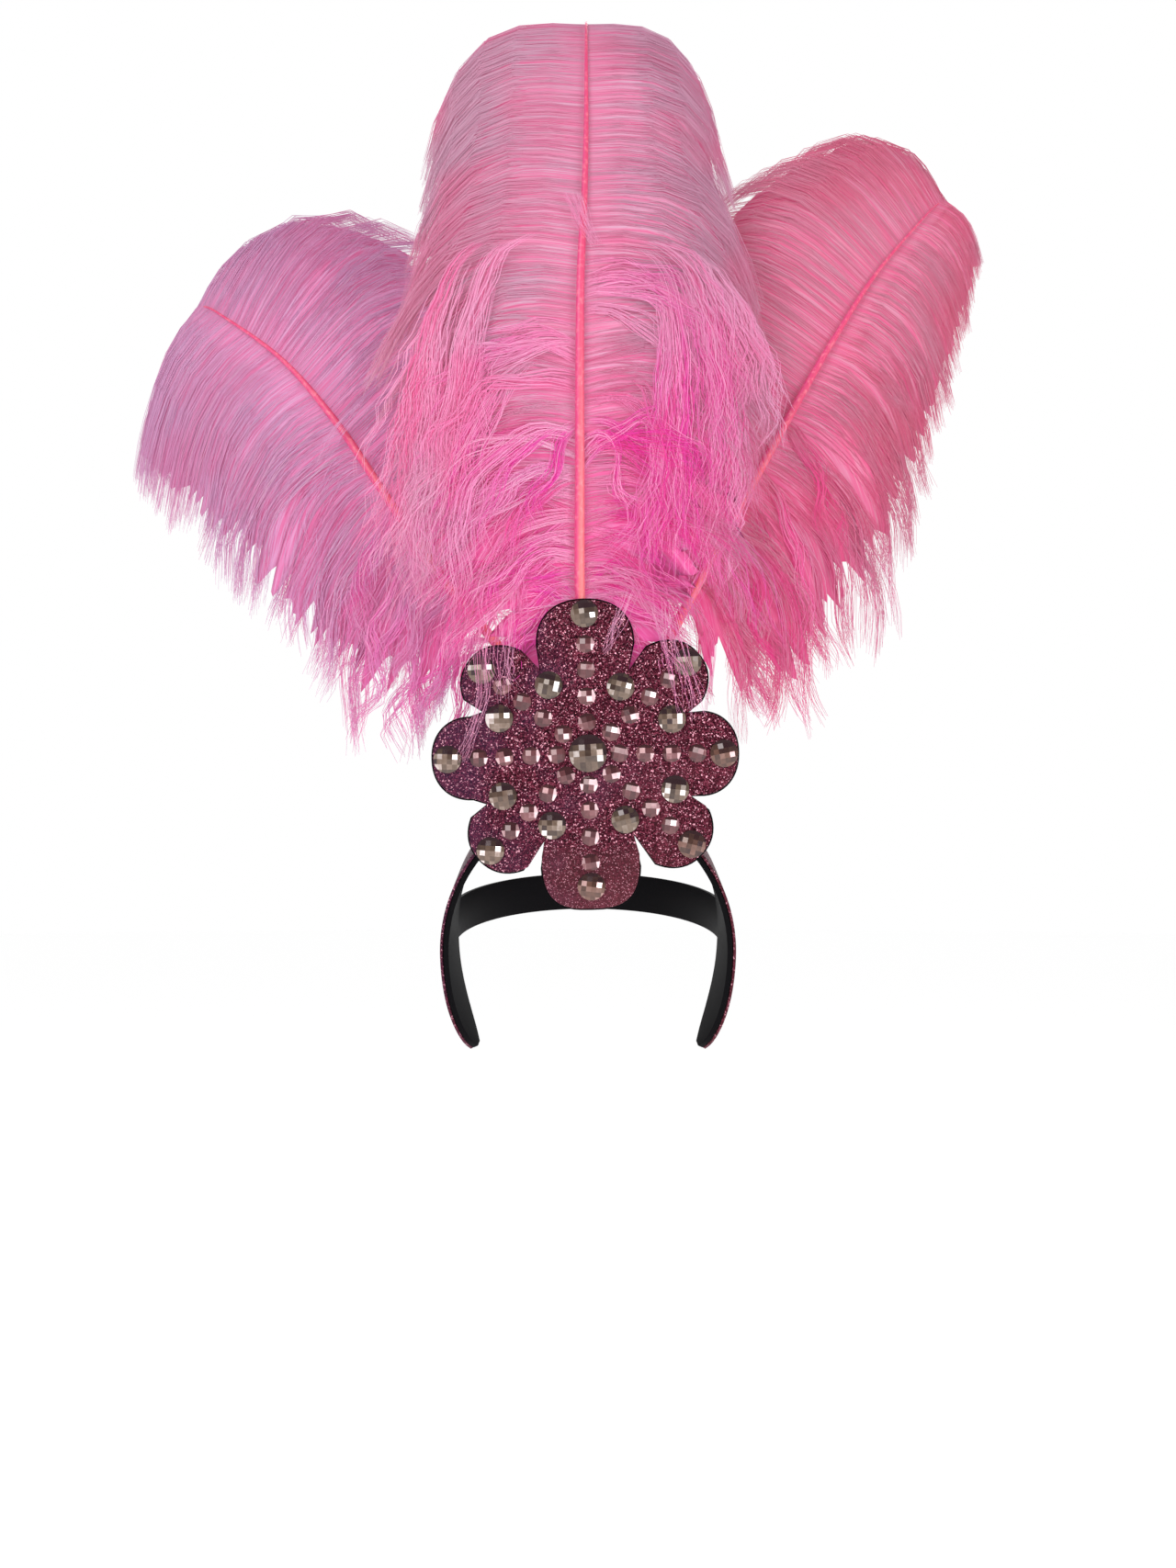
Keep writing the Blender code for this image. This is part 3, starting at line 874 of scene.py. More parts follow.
@dataclass
class HeadArch:
    """The band over the head, glitter foam outside and black lining inside, and the strap behind it."""

    lean: float = math.radians(20.0)
    half_width: float = 78.0
    half_height: float = 88.8
    lower_half_height: float = 110.8
    tip_z: float = -142.0
    toe_in: float = 4.5
    half_depth: float = 14.0
    thickness: float = 4.9
    lining: float = 3.0
    tip_taper: float = 34.0
    tip_half_depth: float = 3.0
    stations: int = 121
    edge: float = 0.5
    strap_z: float = -72.0
    strap_rise: float = 14.0
    strap_half_height: float = 11.0
    strap_thickness: float = 2.2
    strap_half_width: float = 75.0
    strap_reach: float = 98.0
    strap_flare: float = 7.0
    strap_flare_length: float = 14.0
    strap_stations: int = 97

    def point(self, angle: float, outward: float, along: float) -> Vector:
        """A point of the band.

        Args:
            angle: the way round the arch from its right arm.
            outward: distance from the inner face.
            along: place along the band's depth, from front to rear.

        Returns:
            The point.
        """
        height = self.half_height if math.sin(angle) > 0.0 else self.lower_half_height
        centre = Vector((self.half_width * math.cos(angle), height * math.sin(angle) - self.half_height))
        normal = Vector((height * math.cos(angle), self.half_width * math.sin(angle))).normalized()
        toe = self.toe_in * min(1.0, -centre.y / self.half_height)
        across, up = centre + normal * (outward - toe * (along / self.half_depth + 1.0) / 2)
        return Vector(
            (
                across,
                -up * math.sin(self.lean) + along * math.cos(self.lean),
                up * math.cos(self.lean) + along * math.sin(self.lean),
            )
        )

    def angles(self) -> np.ndarray:
        """Angles of the stations, from the right arm's tip over the top to the left arm's tip."""
        tip = math.asin((self.tip_z / math.cos(self.lean) + self.half_height) / self.lower_half_height)
        return np.linspace(tip, math.pi - tip, self.stations)

    def depth_at(self, angle: float, first_angle: float) -> float:
        """Half the band's depth, which shrinks to a rounded point at the tips of the arms.

        Args:
            angle: the station's angle.
            first_angle: the angle of the first station.

        Returns:
            Half the depth there.
        """
        tip_distance = (min(angle, math.pi - angle) - first_angle) * self.half_height
        share = max(0.0, 1.0 - tip_distance / self.tip_taper)
        return max(self.tip_half_depth, self.half_depth * math.sqrt(1.0 - share**2))

    def build_band(self) -> None:
        """Makes the thin glitter shell and the thicker lining inside it."""
        shell, lining = [], []
        angles = self.angles()
        for angle in angles:
            half = self.depth_at(angle, angles[0])
            layers = ((shell, self.lining + GAP, self.thickness), (lining, 0.0, self.lining))
            for profiles, inner, outer in layers:
                corners = ((inner, -half), (outer, -half), (outer, half), (inner, half))
                profiles.append([self.point(angle, *corner) for corner in rounded(corners, self.edge)])
        mesh = mesh_from_bmesh("headband_glitter", bmesh_from(*swept(shell)), SMOOTH_DEGREES)
        add_piece("headband_glitter", mesh, BAND_GLITTER, Slot.GLITTER, "headband_shell")
        mesh = mesh_from_bmesh("headband_lining_felt", bmesh_from(*swept(lining)), SMOOTH_DEGREES)
        add_piece("headband_lining_felt", mesh, LINING, Slot.LINING, "headband_lining")

    def build_strap(self) -> None:
        """Makes the strap that starts on the arms' rear edges and rises round the back of the head."""
        profiles = []
        rear_edge = self.point(math.pi / 2, 0.0, self.half_depth + GAP)
        for angle in np.linspace(0.0, math.pi, self.strap_stations):
            sideways, back = math.cos(angle), math.sin(angle)
            run = min(angle, math.pi - angle) * self.strap_reach
            flare = self.strap_flare * max(0.0, 1.0 - run / self.strap_flare_length) ** 2
            corners = (
                (0.0, self.strap_z - self.strap_half_height - flare),
                (self.strap_thickness, self.strap_z - self.strap_half_height - flare),
                (self.strap_thickness, self.strap_z + self.strap_half_height),
                (0.0, self.strap_z + self.strap_half_height),
            )
            profile = []
            for outward, z in rounded(corners, self.edge):
                start = rear_edge.y + (rear_edge.z - z) * math.tan(self.lean)
                x = (self.strap_half_width + outward) * sideways
                y = start + (self.strap_reach + outward) * back
                profile.append(Vector((x, y, z + self.strap_rise * back)))
            profiles.append(profile)
        mesh = mesh_from_bmesh("back_strap_band", bmesh_from(*swept(profiles)), SMOOTH_DEGREES)
        add_piece("back_strap_band", mesh, LINING, Slot.LINING, "back_strap")

    def build(self) -> None:
        """Builds and dresses the band and the strap."""
        self.build_band()
        self.build_strap()


# Flower


class Petal(NamedTuple):
    """One petal and the notch after it, anticlockwise from the right as seen from the front."""

    bearing: float
    reach: float
    half_width: float
    end: float
    power: float
    tip_stone: float
    notch_bearing: float
    notch_radius: float


PETALS = (
    Petal(0.0, 81.5, 22.5, 21.0, 2.2, 74.0, 22.2, 58.5),
    Petal(42.5, 80.5, 22.0, 28.0, 2.2, 73.5, 63.9, 49.5),
    Petal(91.5, 83.5, 26.0, 24.0, 2.3, 76.0, 120.0, 52.0),
    Petal(142.0, 81.5, 22.0, 28.0, 2.2, 73.5, 158.6, 61.0),
    Petal(182.5, 84.5, 22.0, 21.0, 2.2, 76.5, 206.7, 61.0),
    Petal(225.0, 82.5, 22.5, 28.0, 2.2, 75.0, 243.6, 53.0),
    Petal(271.5, 84.5, 26.6, 29.0, 3.0, 72.5, 299.4, 50.5),
    Petal(318.8, 82.5, 22.5, 28.0, 2.2, 75.0, 337.6, 60.5),
)


class Cut(NamedTuple):
    """A checker-cut stone: its diameter, dome height as a share of its radius, facets across, and sides."""

    diameter: float
    dome: float
    cells: int
    sides: int


@dataclass
class Flower:
    """The flat flower: glitter foam on a black backing, with its stones."""

    z: float = 24.1
    backing_thickness: float = 2.2
    face_thickness: float = 2.0
    backing_margin: float = 0.9
    band_front_y: float = -14.832
    notch_margin: float = 1.08
    arc_steps: int = 30
    edge: float = 0.45
    edge_steps: int = 3
    edge_shape: float = 0.6
    notch_inset: float = 9.2
    small_radii: tuple[float, ...] = (17.0, 31.0, 45.5, 59.5)
    centre: Cut = Cut(20.5, 0.52, 7, 36)
    medium: Cut = Cut(15.0, 0.54, 6, 30)
    small: Cut = Cut(10.0, 0.48, 4, 20)
    girdle: float = 0.13
    facet_loss: float = 0.6
    turn: float = 0.28
    main_level: float = 0.34
    small_level: float = 0.25
    level_spread: float = 0.04
    small_rosiness: float = 0.3
    tip_rosiness: float = 0.85
    most_rosiness: float = 0.25
    # The tip stones at the right, the bottom and the lower right are much rosier: painted reflection. The
    # rosiness of the small stones and the other stones is their own pink.
    rosy: tuple[str, ...] = ("tip_stone_1", "tip_stone_7", "tip_stone_8")
    sink: float = 0.5
    seed: int = 11

    # The facets' painted light: a random sparkle, painted shade on facets that face up, painted reflections
    # on some that face right or left.
    SPARKLE = (-0.02, 0.13)
    SHADED_ABOVE = 0.38
    LIT_RIGHT = (0.0, 0.10, 0.55, 0.75)
    LIT_LEFT = (0.0, 0.10, 0.25, 0.45)

    @property
    def rear_y(self) -> float:
        """Where the backing's rear face lies."""
        return self.band_front_y - GAP

    @property
    def face_rear_y(self) -> float:
        """Where the glitter foam's rear face lies."""
        return self.rear_y - self.backing_thickness - GAP

    @property
    def face_y(self) -> float:
        """Where the glitter face lies."""
        return self.face_rear_y - self.face_thickness

    def spot(self, bearing: float, radius: float) -> Spot:
        """Sideways and upward place of a point of the flower."""
        angle = math.radians(bearing)
        return radius * math.cos(angle), self.z + radius * math.sin(angle)

    def outline(self, margin: float) -> list[Spot]:
        """The flower's outline: each petal's end is part of a superellipse, with straight sides.

        Args:
            margin: how far the outline is grown.

        Returns:
            Its points, sideways and up.
        """
        points = []
        for number, petal in enumerate(PETALS):
            bearing = math.radians(petal.bearing)
            before = (PETALS[number - 1].notch_bearing - petal.bearing) % 360.0 - 360.0
            after = petal.notch_bearing - petal.bearing
            for step in range(self.arc_steps + 1):
                turn = math.pi * (step / self.arc_steps - 0.5)
                rise = max(0.0, math.cos(turn)) ** (2.0 / petal.power)
                side = math.copysign(abs(math.sin(turn)) ** (2.0 / petal.power), turn)
                along = petal.reach - petal.end + (petal.end + margin) * rise
                across = (petal.half_width + margin) * side
                if not before < math.degrees(math.atan2(across, along)) * self.notch_margin < after:
                    continue
                x = along * math.cos(bearing) - across * math.sin(bearing)
                z = along * math.sin(bearing) + across * math.cos(bearing)
                points.append((x, self.z + z))
            points.append(self.spot(petal.notch_bearing, petal.notch_radius + margin))
        return points

    def plate(self, rear_y: float, thickness: float, margin: float) -> Shape:
        """The outline as a plate with a softened front edge.

        Args:
            rear_y: where its rear face lies.
            thickness: how thick it is.
            margin: how far the outline is grown.

        Returns:
            The plate.
        """
        shape = bmesh_from([(x, rear_y, z) for x, z in self.outline(margin)], ())
        face = shape.faces.new(shape.verts[:])
        grown = bmesh.ops.extrude_face_region(shape, geom=[face])
        moved = [part for part in grown["geom"] if isinstance(part, bmesh.types.BMVert)]
        bmesh.ops.translate(shape, verts=moved, vec=(0.0, -thickness * MM, 0.0))
        front = (rear_y - thickness * 0.5) * MM
        edges = [edge for edge in shape.edges if all(vert.co.y < front for vert in edge.verts)]
        size = {"offset": self.edge * MM, "segments": self.edge_steps, "profile": self.edge_shape}
        bmesh.ops.bevel(shape, geom=edges, affect="EDGES", clamp_overlap=True, **size)
        return shape

    def cut_stone(self, cut: Cut) -> Shape:
        """A domed stone with flat square facets, made by slicing a block with the facets' planes.

        Args:
            cut: its size and facets.

        Returns:
            The stone, with its flat back at height 0 and its dome along +Z.
        """
        radius = cut.diameter / 2
        height, girdle = radius * cut.dome, radius * self.girdle
        step = cut.diameter / (cut.cells - self.facet_loss)
        bend = (height - girdle) / radius**2
        planes = [(Vector((0.0, 0.0, 0.0)), Vector((0.0, 0.0, -1.0)))]
        reach = cut.cells // 2 + 1
        shift = 0.0 if cut.cells % 2 else 0.5
        for column in range(-reach, reach + 1):
            for row in range(-reach, reach + 1):
                u, v = (column + shift) * step, (row + shift) * step
                if math.hypot(u, v) > radius + step * 0.3:
                    continue
                top = height - bend * (u * u + v * v) - bend * step * step / 2
                planes.append((Vector((u, v, top)), Vector((2 * bend * u, 2 * bend * v, 1.0)).normalized()))
        for side in range(cut.sides):
            turn = 2 * math.pi * side / cut.sides
            out = Vector((math.cos(turn), math.sin(turn), 0.0))
            planes.append((out * radius, out))
        shape = bmesh.new()
        bmesh.ops.create_cube(shape, size=4 * radius)
        for point, normal in planes:
            everything = shape.verts[:] + shape.edges[:] + shape.faces[:]
            cutting = bmesh.ops.bisect_plane(
                shape, geom=everything, plane_co=point, plane_no=normal, clear_outer=True, dist=1e-5
            )
            edges = [part for part in cutting["geom_cut"] if isinstance(part, bmesh.types.BMEdge)]
            if len(edges) > 2:
                bmesh.ops.edgenet_fill(shape, edges=edges)
        return shape

    def place_stone(self, bearing: float, radius: float, lift: float, turn: float) -> Matrix:
        """Where a stone goes, from millimetres about its own back to metres in the frame.

        Args:
            bearing: the way round the flower.
            radius: distance from its centre.
            lift: how far the stone's back stands in front of the face.
            turn: the stone's own turn.

        Returns:
            The matrix.
        """
        x, z = self.spot(bearing, radius)
        upright = Matrix.Rotation(math.pi / 2, 4, "X") @ Matrix.Rotation(turn, 4, "Z")
        return Matrix.Translation(Vector((x, self.face_y - lift, z)) * MM) @ upright @ Matrix.Scale(MM, 4)

    def facet_light(self, normal: Vector, rng: Random) -> float:
        """How much brighter a facet's painted light is than its stone's middle: painted shade on facets that
        face up, painted reflections that make some facing right or left bright, and a random sparkle.

        Args:
            normal: the facet's normal.
            rng: where the facets' differences come from.

        Returns:
            The difference.
        """
        upward = min(1.0, max(0.0, (normal.z - 0.16) / 0.22))
        light = rng.normal(*self.SPARKLE) - self.SHADED_ABOVE * upward
        if abs(normal.z) < 0.26 and 0.20 < normal.x < 0.55:
            light += rng.choice(self.LIT_RIGHT)
        elif normal.z < 0.30 and normal.x < -0.38:
            light += rng.choice(self.LIT_LEFT)
        return light

    def stone_mesh(self, name: str, shapes: Sequence[Shape], rng: Random, rosy: float, level: float) -> Mesh:
        """Joins placed stones into a mesh and gives each facet its painted light.

        Args:
            name: the mesh's name.
            shapes: the placed stones, which are freed.
            rng: where the facets' differences come from.
            rosy: how pink the stones are.
            level: how bright their facets are at the middle.

        Returns:
            The mesh.
        """
        joined = bmesh.new()
        levels = []
        for shape in shapes:
            bmesh.ops.recalc_face_normals(shape, faces=shape.faces)
            shape.normal_update()
            own = rng.normal(level, self.level_spread)
            middle = sum((vert.co for vert in shape.verts), Vector()) / len(shape.verts)
            for face in shape.faces:
                outward = math.copysign(1.0, face.normal.dot(face.calc_center_median() - middle))
                levels.append(own + self.facet_light(outward * face.normal, rng))
            scratch = bpy.data.meshes.new("scratch")
            shape.to_mesh(scratch)
            shape.free()
            joined.from_mesh(scratch)
            bpy.data.meshes.remove(scratch)
        mesh = mesh_from_bmesh(name, joined)
        set_attribute(mesh, "facet", np.array(levels), "FACE")
        set_attribute(mesh, "rosy", np.full(len(levels), rosy), "FACE")
        return mesh

    def build_stone(self, node: str, cut: Cut, bearing: float, radius: float, rng: Random) -> None:
        """Makes one main stone in place of its CAD node.

        Args:
            node: the CAD node.
            cut: its size and facets.
            bearing: the way round the flower.
            radius: distance from its centre.
            rng: where its turn comes from.
        """
        shape = self.cut_stone(cut)
        shape.transform(self.place_stone(bearing, radius, GAP, rng.uniform(-self.turn, self.turn)))
        # The rosier tip stones are painted reflection.
        rosy = self.tip_rosiness if node in self.rosy else rng.uniform(0.0, self.most_rosiness)
        mesh = self.stone_mesh(f"{node}_cut", [shape], rng, rosy, self.main_level)
        add_piece(f"{node}_cut", mesh, MAIN_STONE, Slot.STONE, node)

    def build(self) -> None:
        """Builds and dresses the plate and its stones."""
        rng = np.random.default_rng(self.seed)
        face = self.plate(self.face_rear_y, self.face_thickness, 0.0)
        mesh = mesh_from_bmesh("flower_glitter", face, SMOOTH_DEGREES)
        add_piece("flower_glitter", mesh, GLITTER, Slot.GLITTER, "flower_face")
        backing = self.plate(self.rear_y, self.backing_thickness, self.backing_margin)
        mesh = mesh_from_bmesh("flower_backing_foam", backing, SMOOTH_DEGREES)
        add_piece("flower_backing_foam", mesh, FOAM, Slot.FOAM, "flower_backing")
        small = []
        for petal in PETALS:
            for radius in self.small_radii:
                shape = self.cut_stone(self.small)
                turn = rng.uniform(-1.0, 1.0) * self.turn
                shape.transform(self.place_stone(petal.bearing, radius, -self.sink, turn))
                small.append(shape)
        mesh = self.stone_mesh("small_stones", small, rng, self.small_rosiness, self.small_level)
        add_piece("small_stones", mesh, SMALL_STONE, Slot.STONE)
        self.build_stone("centre_stone", self.centre, 0.0, 0.0, rng)
        for number, petal in enumerate(PETALS, 1):
            self.build_stone(f"tip_stone_{number}", self.medium, petal.bearing, petal.tip_stone, rng)
            notch = petal.notch_radius - self.notch_inset
            self.build_stone(f"notch_stone_{number}", self.medium, petal.notch_bearing, notch, rng)


# Plumes


class VaneRow(NamedTuple):
    """A row across a vane.

    share runs along the vane from its root to its tip; length is a barb's own length; lean is its angle
    from the quill; droop and its power bend it down; curl turns it back; fringe is the depth of the cuts.
    """

    share: float
    length: float
    lean: float
    droop: float
    power: float
    curl: float
    fringe: float


class LookRow(NamedTuple):
    """How the barbs look at a share of the vane: how loose, how clumped and how hot their pink is."""

    share: float
    loose: float
    clump: float
    heat: float


class Tuft(NamedTuple):
    """A bunch of barbs that starts on part of the vane and hangs in front of it or fills below it."""

    side: Side
    low: float
    high: float
    guides: int
    length: float
    lean: float
    droop: float
    power: float
    curl: float
    heat: float
    front: float = 2.0
    stray: float = 5.0
    loose: float = 0.7


class Bend(NamedTuple):
    """A barb's length, its angle from the quill, its droop and how late that comes, and its curl."""

    length: float
    lean: float
    droop: float
    power: float
    curl: float


class Swirl(NamedTuple):
    """A barb's own waves: how strong they are, how many it has and where they start."""

    size: float = 0.0
    turns: float = 1.0
    start: float = 0.0


class Wisp(NamedTuple):
    """A thin bunch of strands along a path of its own."""

    points: tuple[Place, ...]
    guides: int
    width: float
    heat: float


class Fall(NamedTuple):
    """Long wavy locks that hang in front of the vane; their path is given across and up."""

    path: tuple[Spot, ...]
    guides: int
    width: float
    heat: float


class Parting(NamedTuple):
    """An open slot between the barbs, seen from the front: its middle and its half sizes."""

    across: float
    height: float
    half_width: float
    half_height: float

    def crossed(self, line: np.ndarray) -> bool:
        """Whether a line enters the slot."""
        aside = (line[:, 0] - self.across) / self.half_width
        above = (line[:, 2] - self.height) / self.half_height
        return bool((aside**2 + above**2 < 1.0).any())


def row_value(rows: Sequence[Any], column: str, share: float) -> float:
    """A column's value at a share of the vane."""
    return float(np.interp(share, [row.share for row in rows], [getattr(row, column) for row in rows]))


class Spine:
    """A quill's curve with its tangents and its normals, which start to the front and turn little."""

    def __init__(self, points: Sequence[Place], count: int) -> None:
        """Samples the curve evenly.

        Args:
            points: points that the curve passes.
            count: how many spans the samples make.
        """
        self.count = count
        self.curve = self._smooth(np.array(points, float), count)
        tangents = np.gradient(self.curve, axis=0)
        self.tangents = tangents / np.linalg.norm(tangents, axis=1)[:, None]
        normal = FRONT
        normals = []
        for tangent in self.tangents:
            normal = normal - normal.dot(tangent) * tangent
            normal = normal / np.linalg.norm(normal)
            normals.append(normal)
        self.normals = np.array(normals)

    @staticmethod
    def _smooth(points: np.ndarray, count: int) -> np.ndarray:
        """Points evenly spaced along a Catmull-Rom curve.

        Args:
            points: points that the curve passes.
            count: how many spans the result has.

        Returns:
            The points.
        """
        padded = np.vstack([2 * points[0] - points[1], points, 2 * points[-1] - points[-2]])
        fine = []
        spans = len(points) - 1
        for place in np.linspace(0.0, spans, 4 * count):
            span = min(int(place), spans - 1)
            t = place - span
            a, b, c, d = padded[span : span + 4]
            bent = (2 * a - 5 * b + 4 * c - d) * t**2
            fine.append(0.5 * (2 * b + (c - a) * t + bent + (3 * b - a - 3 * c + d) * t**3))
        fine = np.array(fine)
        travelled = np.concatenate([[0.0], np.cumsum(np.linalg.norm(np.diff(fine, axis=0), axis=1))])
        even = np.linspace(0.0, travelled[-1], count + 1)
        return np.stack([np.interp(even, travelled, fine[:, axis]) for axis in range(3)], axis=1)

    @property
    def length(self) -> float:
        """Length along the curve."""
        return float(np.linalg.norm(np.diff(self.curve, axis=0), axis=1).sum())

    def at(self, place: float) -> tuple[np.ndarray, np.ndarray, np.ndarray]:
        """Point, tangent and normal at a share of the whole curve.

        Args:
            place: the share, from 0 to 1.

        Returns:
            The three vectors.
        """
        position = min(max(place, 0.0), 1.0) * self.count
        low = min(int(position), self.count - 1)
        t = position - low
        found = []
        for values in (self.curve, self.tangents, self.normals):
            found.append(values[low] * (1 - t) + values[low + 1] * t)
        return found[0], found[1] / np.linalg.norm(found[1]), found[2] / np.linalg.norm(found[2])


class Guides:
    """Guide lines for barbs, gathered as one mesh of loose edges with what each line carries."""

    def __init__(self) -> None:
        """Starts with no lines."""
        self.points: list[np.ndarray] = []
        self.values: dict[str, list[Any]] = {}

    def add(self, line: np.ndarray, **values: Any) -> None:
        """Adds a line.

        Args:
            line: its points from root to tip.
            values: a number or a vector for each attribute.
        """
        self.points.append(line)
        count = len(line)
        values = {**values, "along": np.linspace(0.0, 1.0, count)}
        for name, value in values.items():
            value = np.asarray(value, float)
            if name != "along":
                value = np.repeat(value[None], count, axis=0)
            self.values.setdefault(name, []).append(value)

    def mesh(self, name: str) -> Mesh:
        """The lines as a mesh.

        Args:
            name: the mesh's name.

        Returns:
            The mesh, in metres.
        """
        edges = []
        start = 0
        for line in self.points:
            edges += [(start + step, start + step + 1) for step in range(len(line) - 1)]
            start += len(line)
        mesh = bpy.data.meshes.new(name)
        mesh.from_pydata((np.concatenate(self.points) * MM).tolist(), edges, [])
        for key, values in self.values.items():
            set_attribute(mesh, key, np.concatenate(values))
        return mesh


class Growth(NamedTuple):
    """What grows on a guide line: how many barbs and, in metres, their spread, depth, waves and radius."""

    copies: int
    spread: float
    depth: float
    wave: float
    drift: float
    radius: float = 0.0002


LOOSE = Growth(7, 0.0019, 0.0018, 0.0018, 0.003, 0.00023)
HANGING = LOOSE._replace(copies=6, spread=0.0042)
THIN = Growth(6, 0.0050, 0.0012, 0.0025, 0.006, 0.00011)


class BarbGrower:
    """Geometry Nodes that turn each guide line into a lock of tapering, wavy barbs."""

    INPUTS = (
        ("Copies", "NodeSocketInt", 20),
        ("Spread", "NodeSocketFloat", 0.003),
        ("Depth", "NodeSocketFloat", 0.002),
        ("Radius", "NodeSocketFloat", 0.0002),
        ("Wave", "NodeSocketFloat", 0.003),
        ("Drift", "NodeSocketFloat", 0.004),
        ("Length jitter", "NodeSocketFloat", 0.05),
        ("Seed", "NodeSocketInt", 1),
        ("Dye", "NodeSocketMaterial", None),
    )
    CARRIED = ("root", "way", "out", "loose", "clump")
    BEATS = (7.0, 5.0)
    SWAY_RATIO = 1.37
    FIELD_SCALE = 55.0
    TIP_LOSS = 0.6
    ROOT_SHARE = 0.30
    ROOT_LENGTH = 0.12
    RING = {"Resolution": 3, "Radius": 1.0}

    def __init__(self) -> None:
        """Builds the tree."""
        self.tree = bpy.data.node_groups.new("barb locks", "GeometryNodeTree")
        self.tree.interface.new_socket("Guides", in_out="INPUT", socket_type="NodeSocketGeometry")
        self.keys = {}
        for name, kind, default in self.INPUTS:
            socket = self.tree.interface.new_socket(name, in_out="INPUT", socket_type=kind)
            if default is not None:
                socket.default_value = default
            self.keys[name] = socket.identifier
        self.tree.interface.new_socket("Barbs", in_out="OUTPUT", socket_type="NodeSocketGeometry")
        self._fill(Nodes(self.tree))

    def _named(self, nodes: Nodes, name: str, vector: bool = False) -> Wire:
        """A guide's attribute, read as a field."""
        kind = "FLOAT_VECTOR" if vector else "FLOAT"
        return nodes.add("GeometryNodeInputNamedAttribute", {"data_type": kind}, {"Name": name})

    def _random(self, nodes: Nodes, seed: Wire, number: int, low: float = -1.0) -> Wire:
        """A random number up to 1 for each barb.

        Args:
            nodes: the tree.
            seed: the tree's seed.
            number: tells this use apart from the others.
            low: the lowest value.

        Returns:
            The number, the same for all points of a barb.
        """
        index = nodes.add("GeometryNodeInputIndex")
        strand = nodes.add("GeometryNodeFieldOnDomain", {"domain": "CURVE", "data_type": "INT"}, {0: index})
        return nodes.add(
            "FunctionNodeRandomValue",
            {"data_type": "FLOAT"},
            {"Min_001": low, "Max_001": 1.0, "ID": strand, "Seed": seed * 16.0 + float(number)},
            "Value_001",
        )

    def _fill(self, nodes: Nodes) -> None:
        """Adds the nodes.

        Args:
            nodes: the tree.
        """
        group = nodes.add("NodeGroupInput").socket.node
        given = {socket.name: Wire(nodes, socket) for socket in group.outputs if socket.name}
        curves = nodes.add("GeometryNodeMeshToCurve", {}, {"Mesh": given["Guides"]})
        copied = nodes.add(
            "GeometryNodeDuplicateElements",
            {"domain": "SPLINE"},
            {"Geometry": curves, "Amount": given["Copies"]},
        )
        seed = given["Seed"]
        along, loose = (self._named(nodes, name) for name in ("along", "loose"))
        root, way, out = (self._named(nodes, name, vector=True) for name in ("root", "way", "out"))
        where = nodes.add("GeometryNodeInputPosition")

        gathered = 1.0 - self._named(nodes, "clump") * along**1.3
        stretch = 1.0 + self._random(nodes, seed, 1) * given["Length jitter"] * (0.6 + loose)
        aside = self._random(nodes, seed, 2) * given["Spread"] * gathered
        forward = self._random(nodes, seed, 3) * given["Depth"] * (0.25 + along * (0.75 + loose)) * gathered
        beats = self.BEATS[0] + self.BEATS[1] * self._random(nodes, seed, 4)
        beat = along * beats + self._random(nodes, seed, 5) * 3.1416
        swing = beat.sine() * given["Wave"] * along * loose
        sway = (beat * self.SWAY_RATIO + 1.1).sine() * given["Wave"] * along * loose
        field = root * self.FIELD_SCALE + out * (along * 1.3)
        cloud = nodes.noise(field, 1.0, 1.0, "Color") - (0.5, 0.5, 0.5)
        drift = cloud * (given["Drift"] * along * (0.3 + loose))
        moved = root + (where - root) * stretch + way * (aside + swing) + out * (forward + sway) + drift
        shaped = nodes.add("GeometryNodeSetPosition", {}, {"Geometry": copied, "Position": moved})

        toned = nodes.add(
            "GeometryNodeStoreNamedAttribute",
            {"data_type": "FLOAT", "domain": "POINT"},
            {"Geometry": shaped, "Name": "tone", "Value": self._random(nodes, seed, 6, 0.0)},
        )
        ring = nodes.add("GeometryNodeCurvePrimitiveCircle", {"mode": "RADIUS"}, self.RING)
        width = given["Radius"] * (1.0 - self.TIP_LOSS * along**3.0)
        width = width * (self.ROOT_SHARE + (1.0 - self.ROOT_SHARE) * along.between(0.0, self.ROOT_LENGTH))
        tubes = nodes.add(
            "GeometryNodeCurveToMesh",
            {},
            {"Curve": toned, "Profile Curve": ring, "Scale": width, "Fill Caps": True},
        )
        soft = nodes.add("GeometryNodeSetShadeSmooth", {}, {"Geometry": tubes, "Shade Smooth": True})
        real = nodes.add("GeometryNodeRealizeInstances", {}, {"Geometry": soft})
        dyed = nodes.add("GeometryNodeSetMaterial", {}, {"Geometry": real, "Material": given["Dye"]})
        nodes.add("NodeGroupOutput", {}, {0: dyed})

    def grow(self, name: str, guides: Guides, finish: Finish, growth: Growth, seed: int) -> Mesh:
        """Grows barbs on guide lines.

        Args:
            name: the new mesh's name.
            guides: the guide lines.
            finish: what the barbs are dressed with.
            growth: how many barbs a line gets, and their sizes.
            seed: the tree's seed.

        Returns:
            The barbs as a plain mesh.
        """
        carrier = bpy.data.objects.new(f"{name}_guides", guides.mesh(f"{name}_guides"))
        bpy.context.scene.collection.objects.link(carrier)
        modifier = carrier.modifiers.new("barbs", "NODES")
        modifier.node_group = self.tree
        sizes = {key.capitalize(): value for key, value in growth._asdict().items()}
        for key, value in {**sizes, "Seed": seed, "Dye": finish.make()}.items():
            modifier[self.keys[key]] = value
        graph = bpy.context.evaluated_depsgraph_get()
        mesh = bpy.data.meshes.new_from_object(
            carrier.evaluated_get(graph), preserve_all_data_layers=True, depsgraph=graph
        )
        mesh.name = name
        carrier.modifiers.remove(modifier)
        bpy.data.objects.remove(carrier, do_unlink=True)
        for key in self.CARRIED:
            if key in mesh.attributes:
                mesh.attributes.remove(mesh.attributes[key])
        return mesh


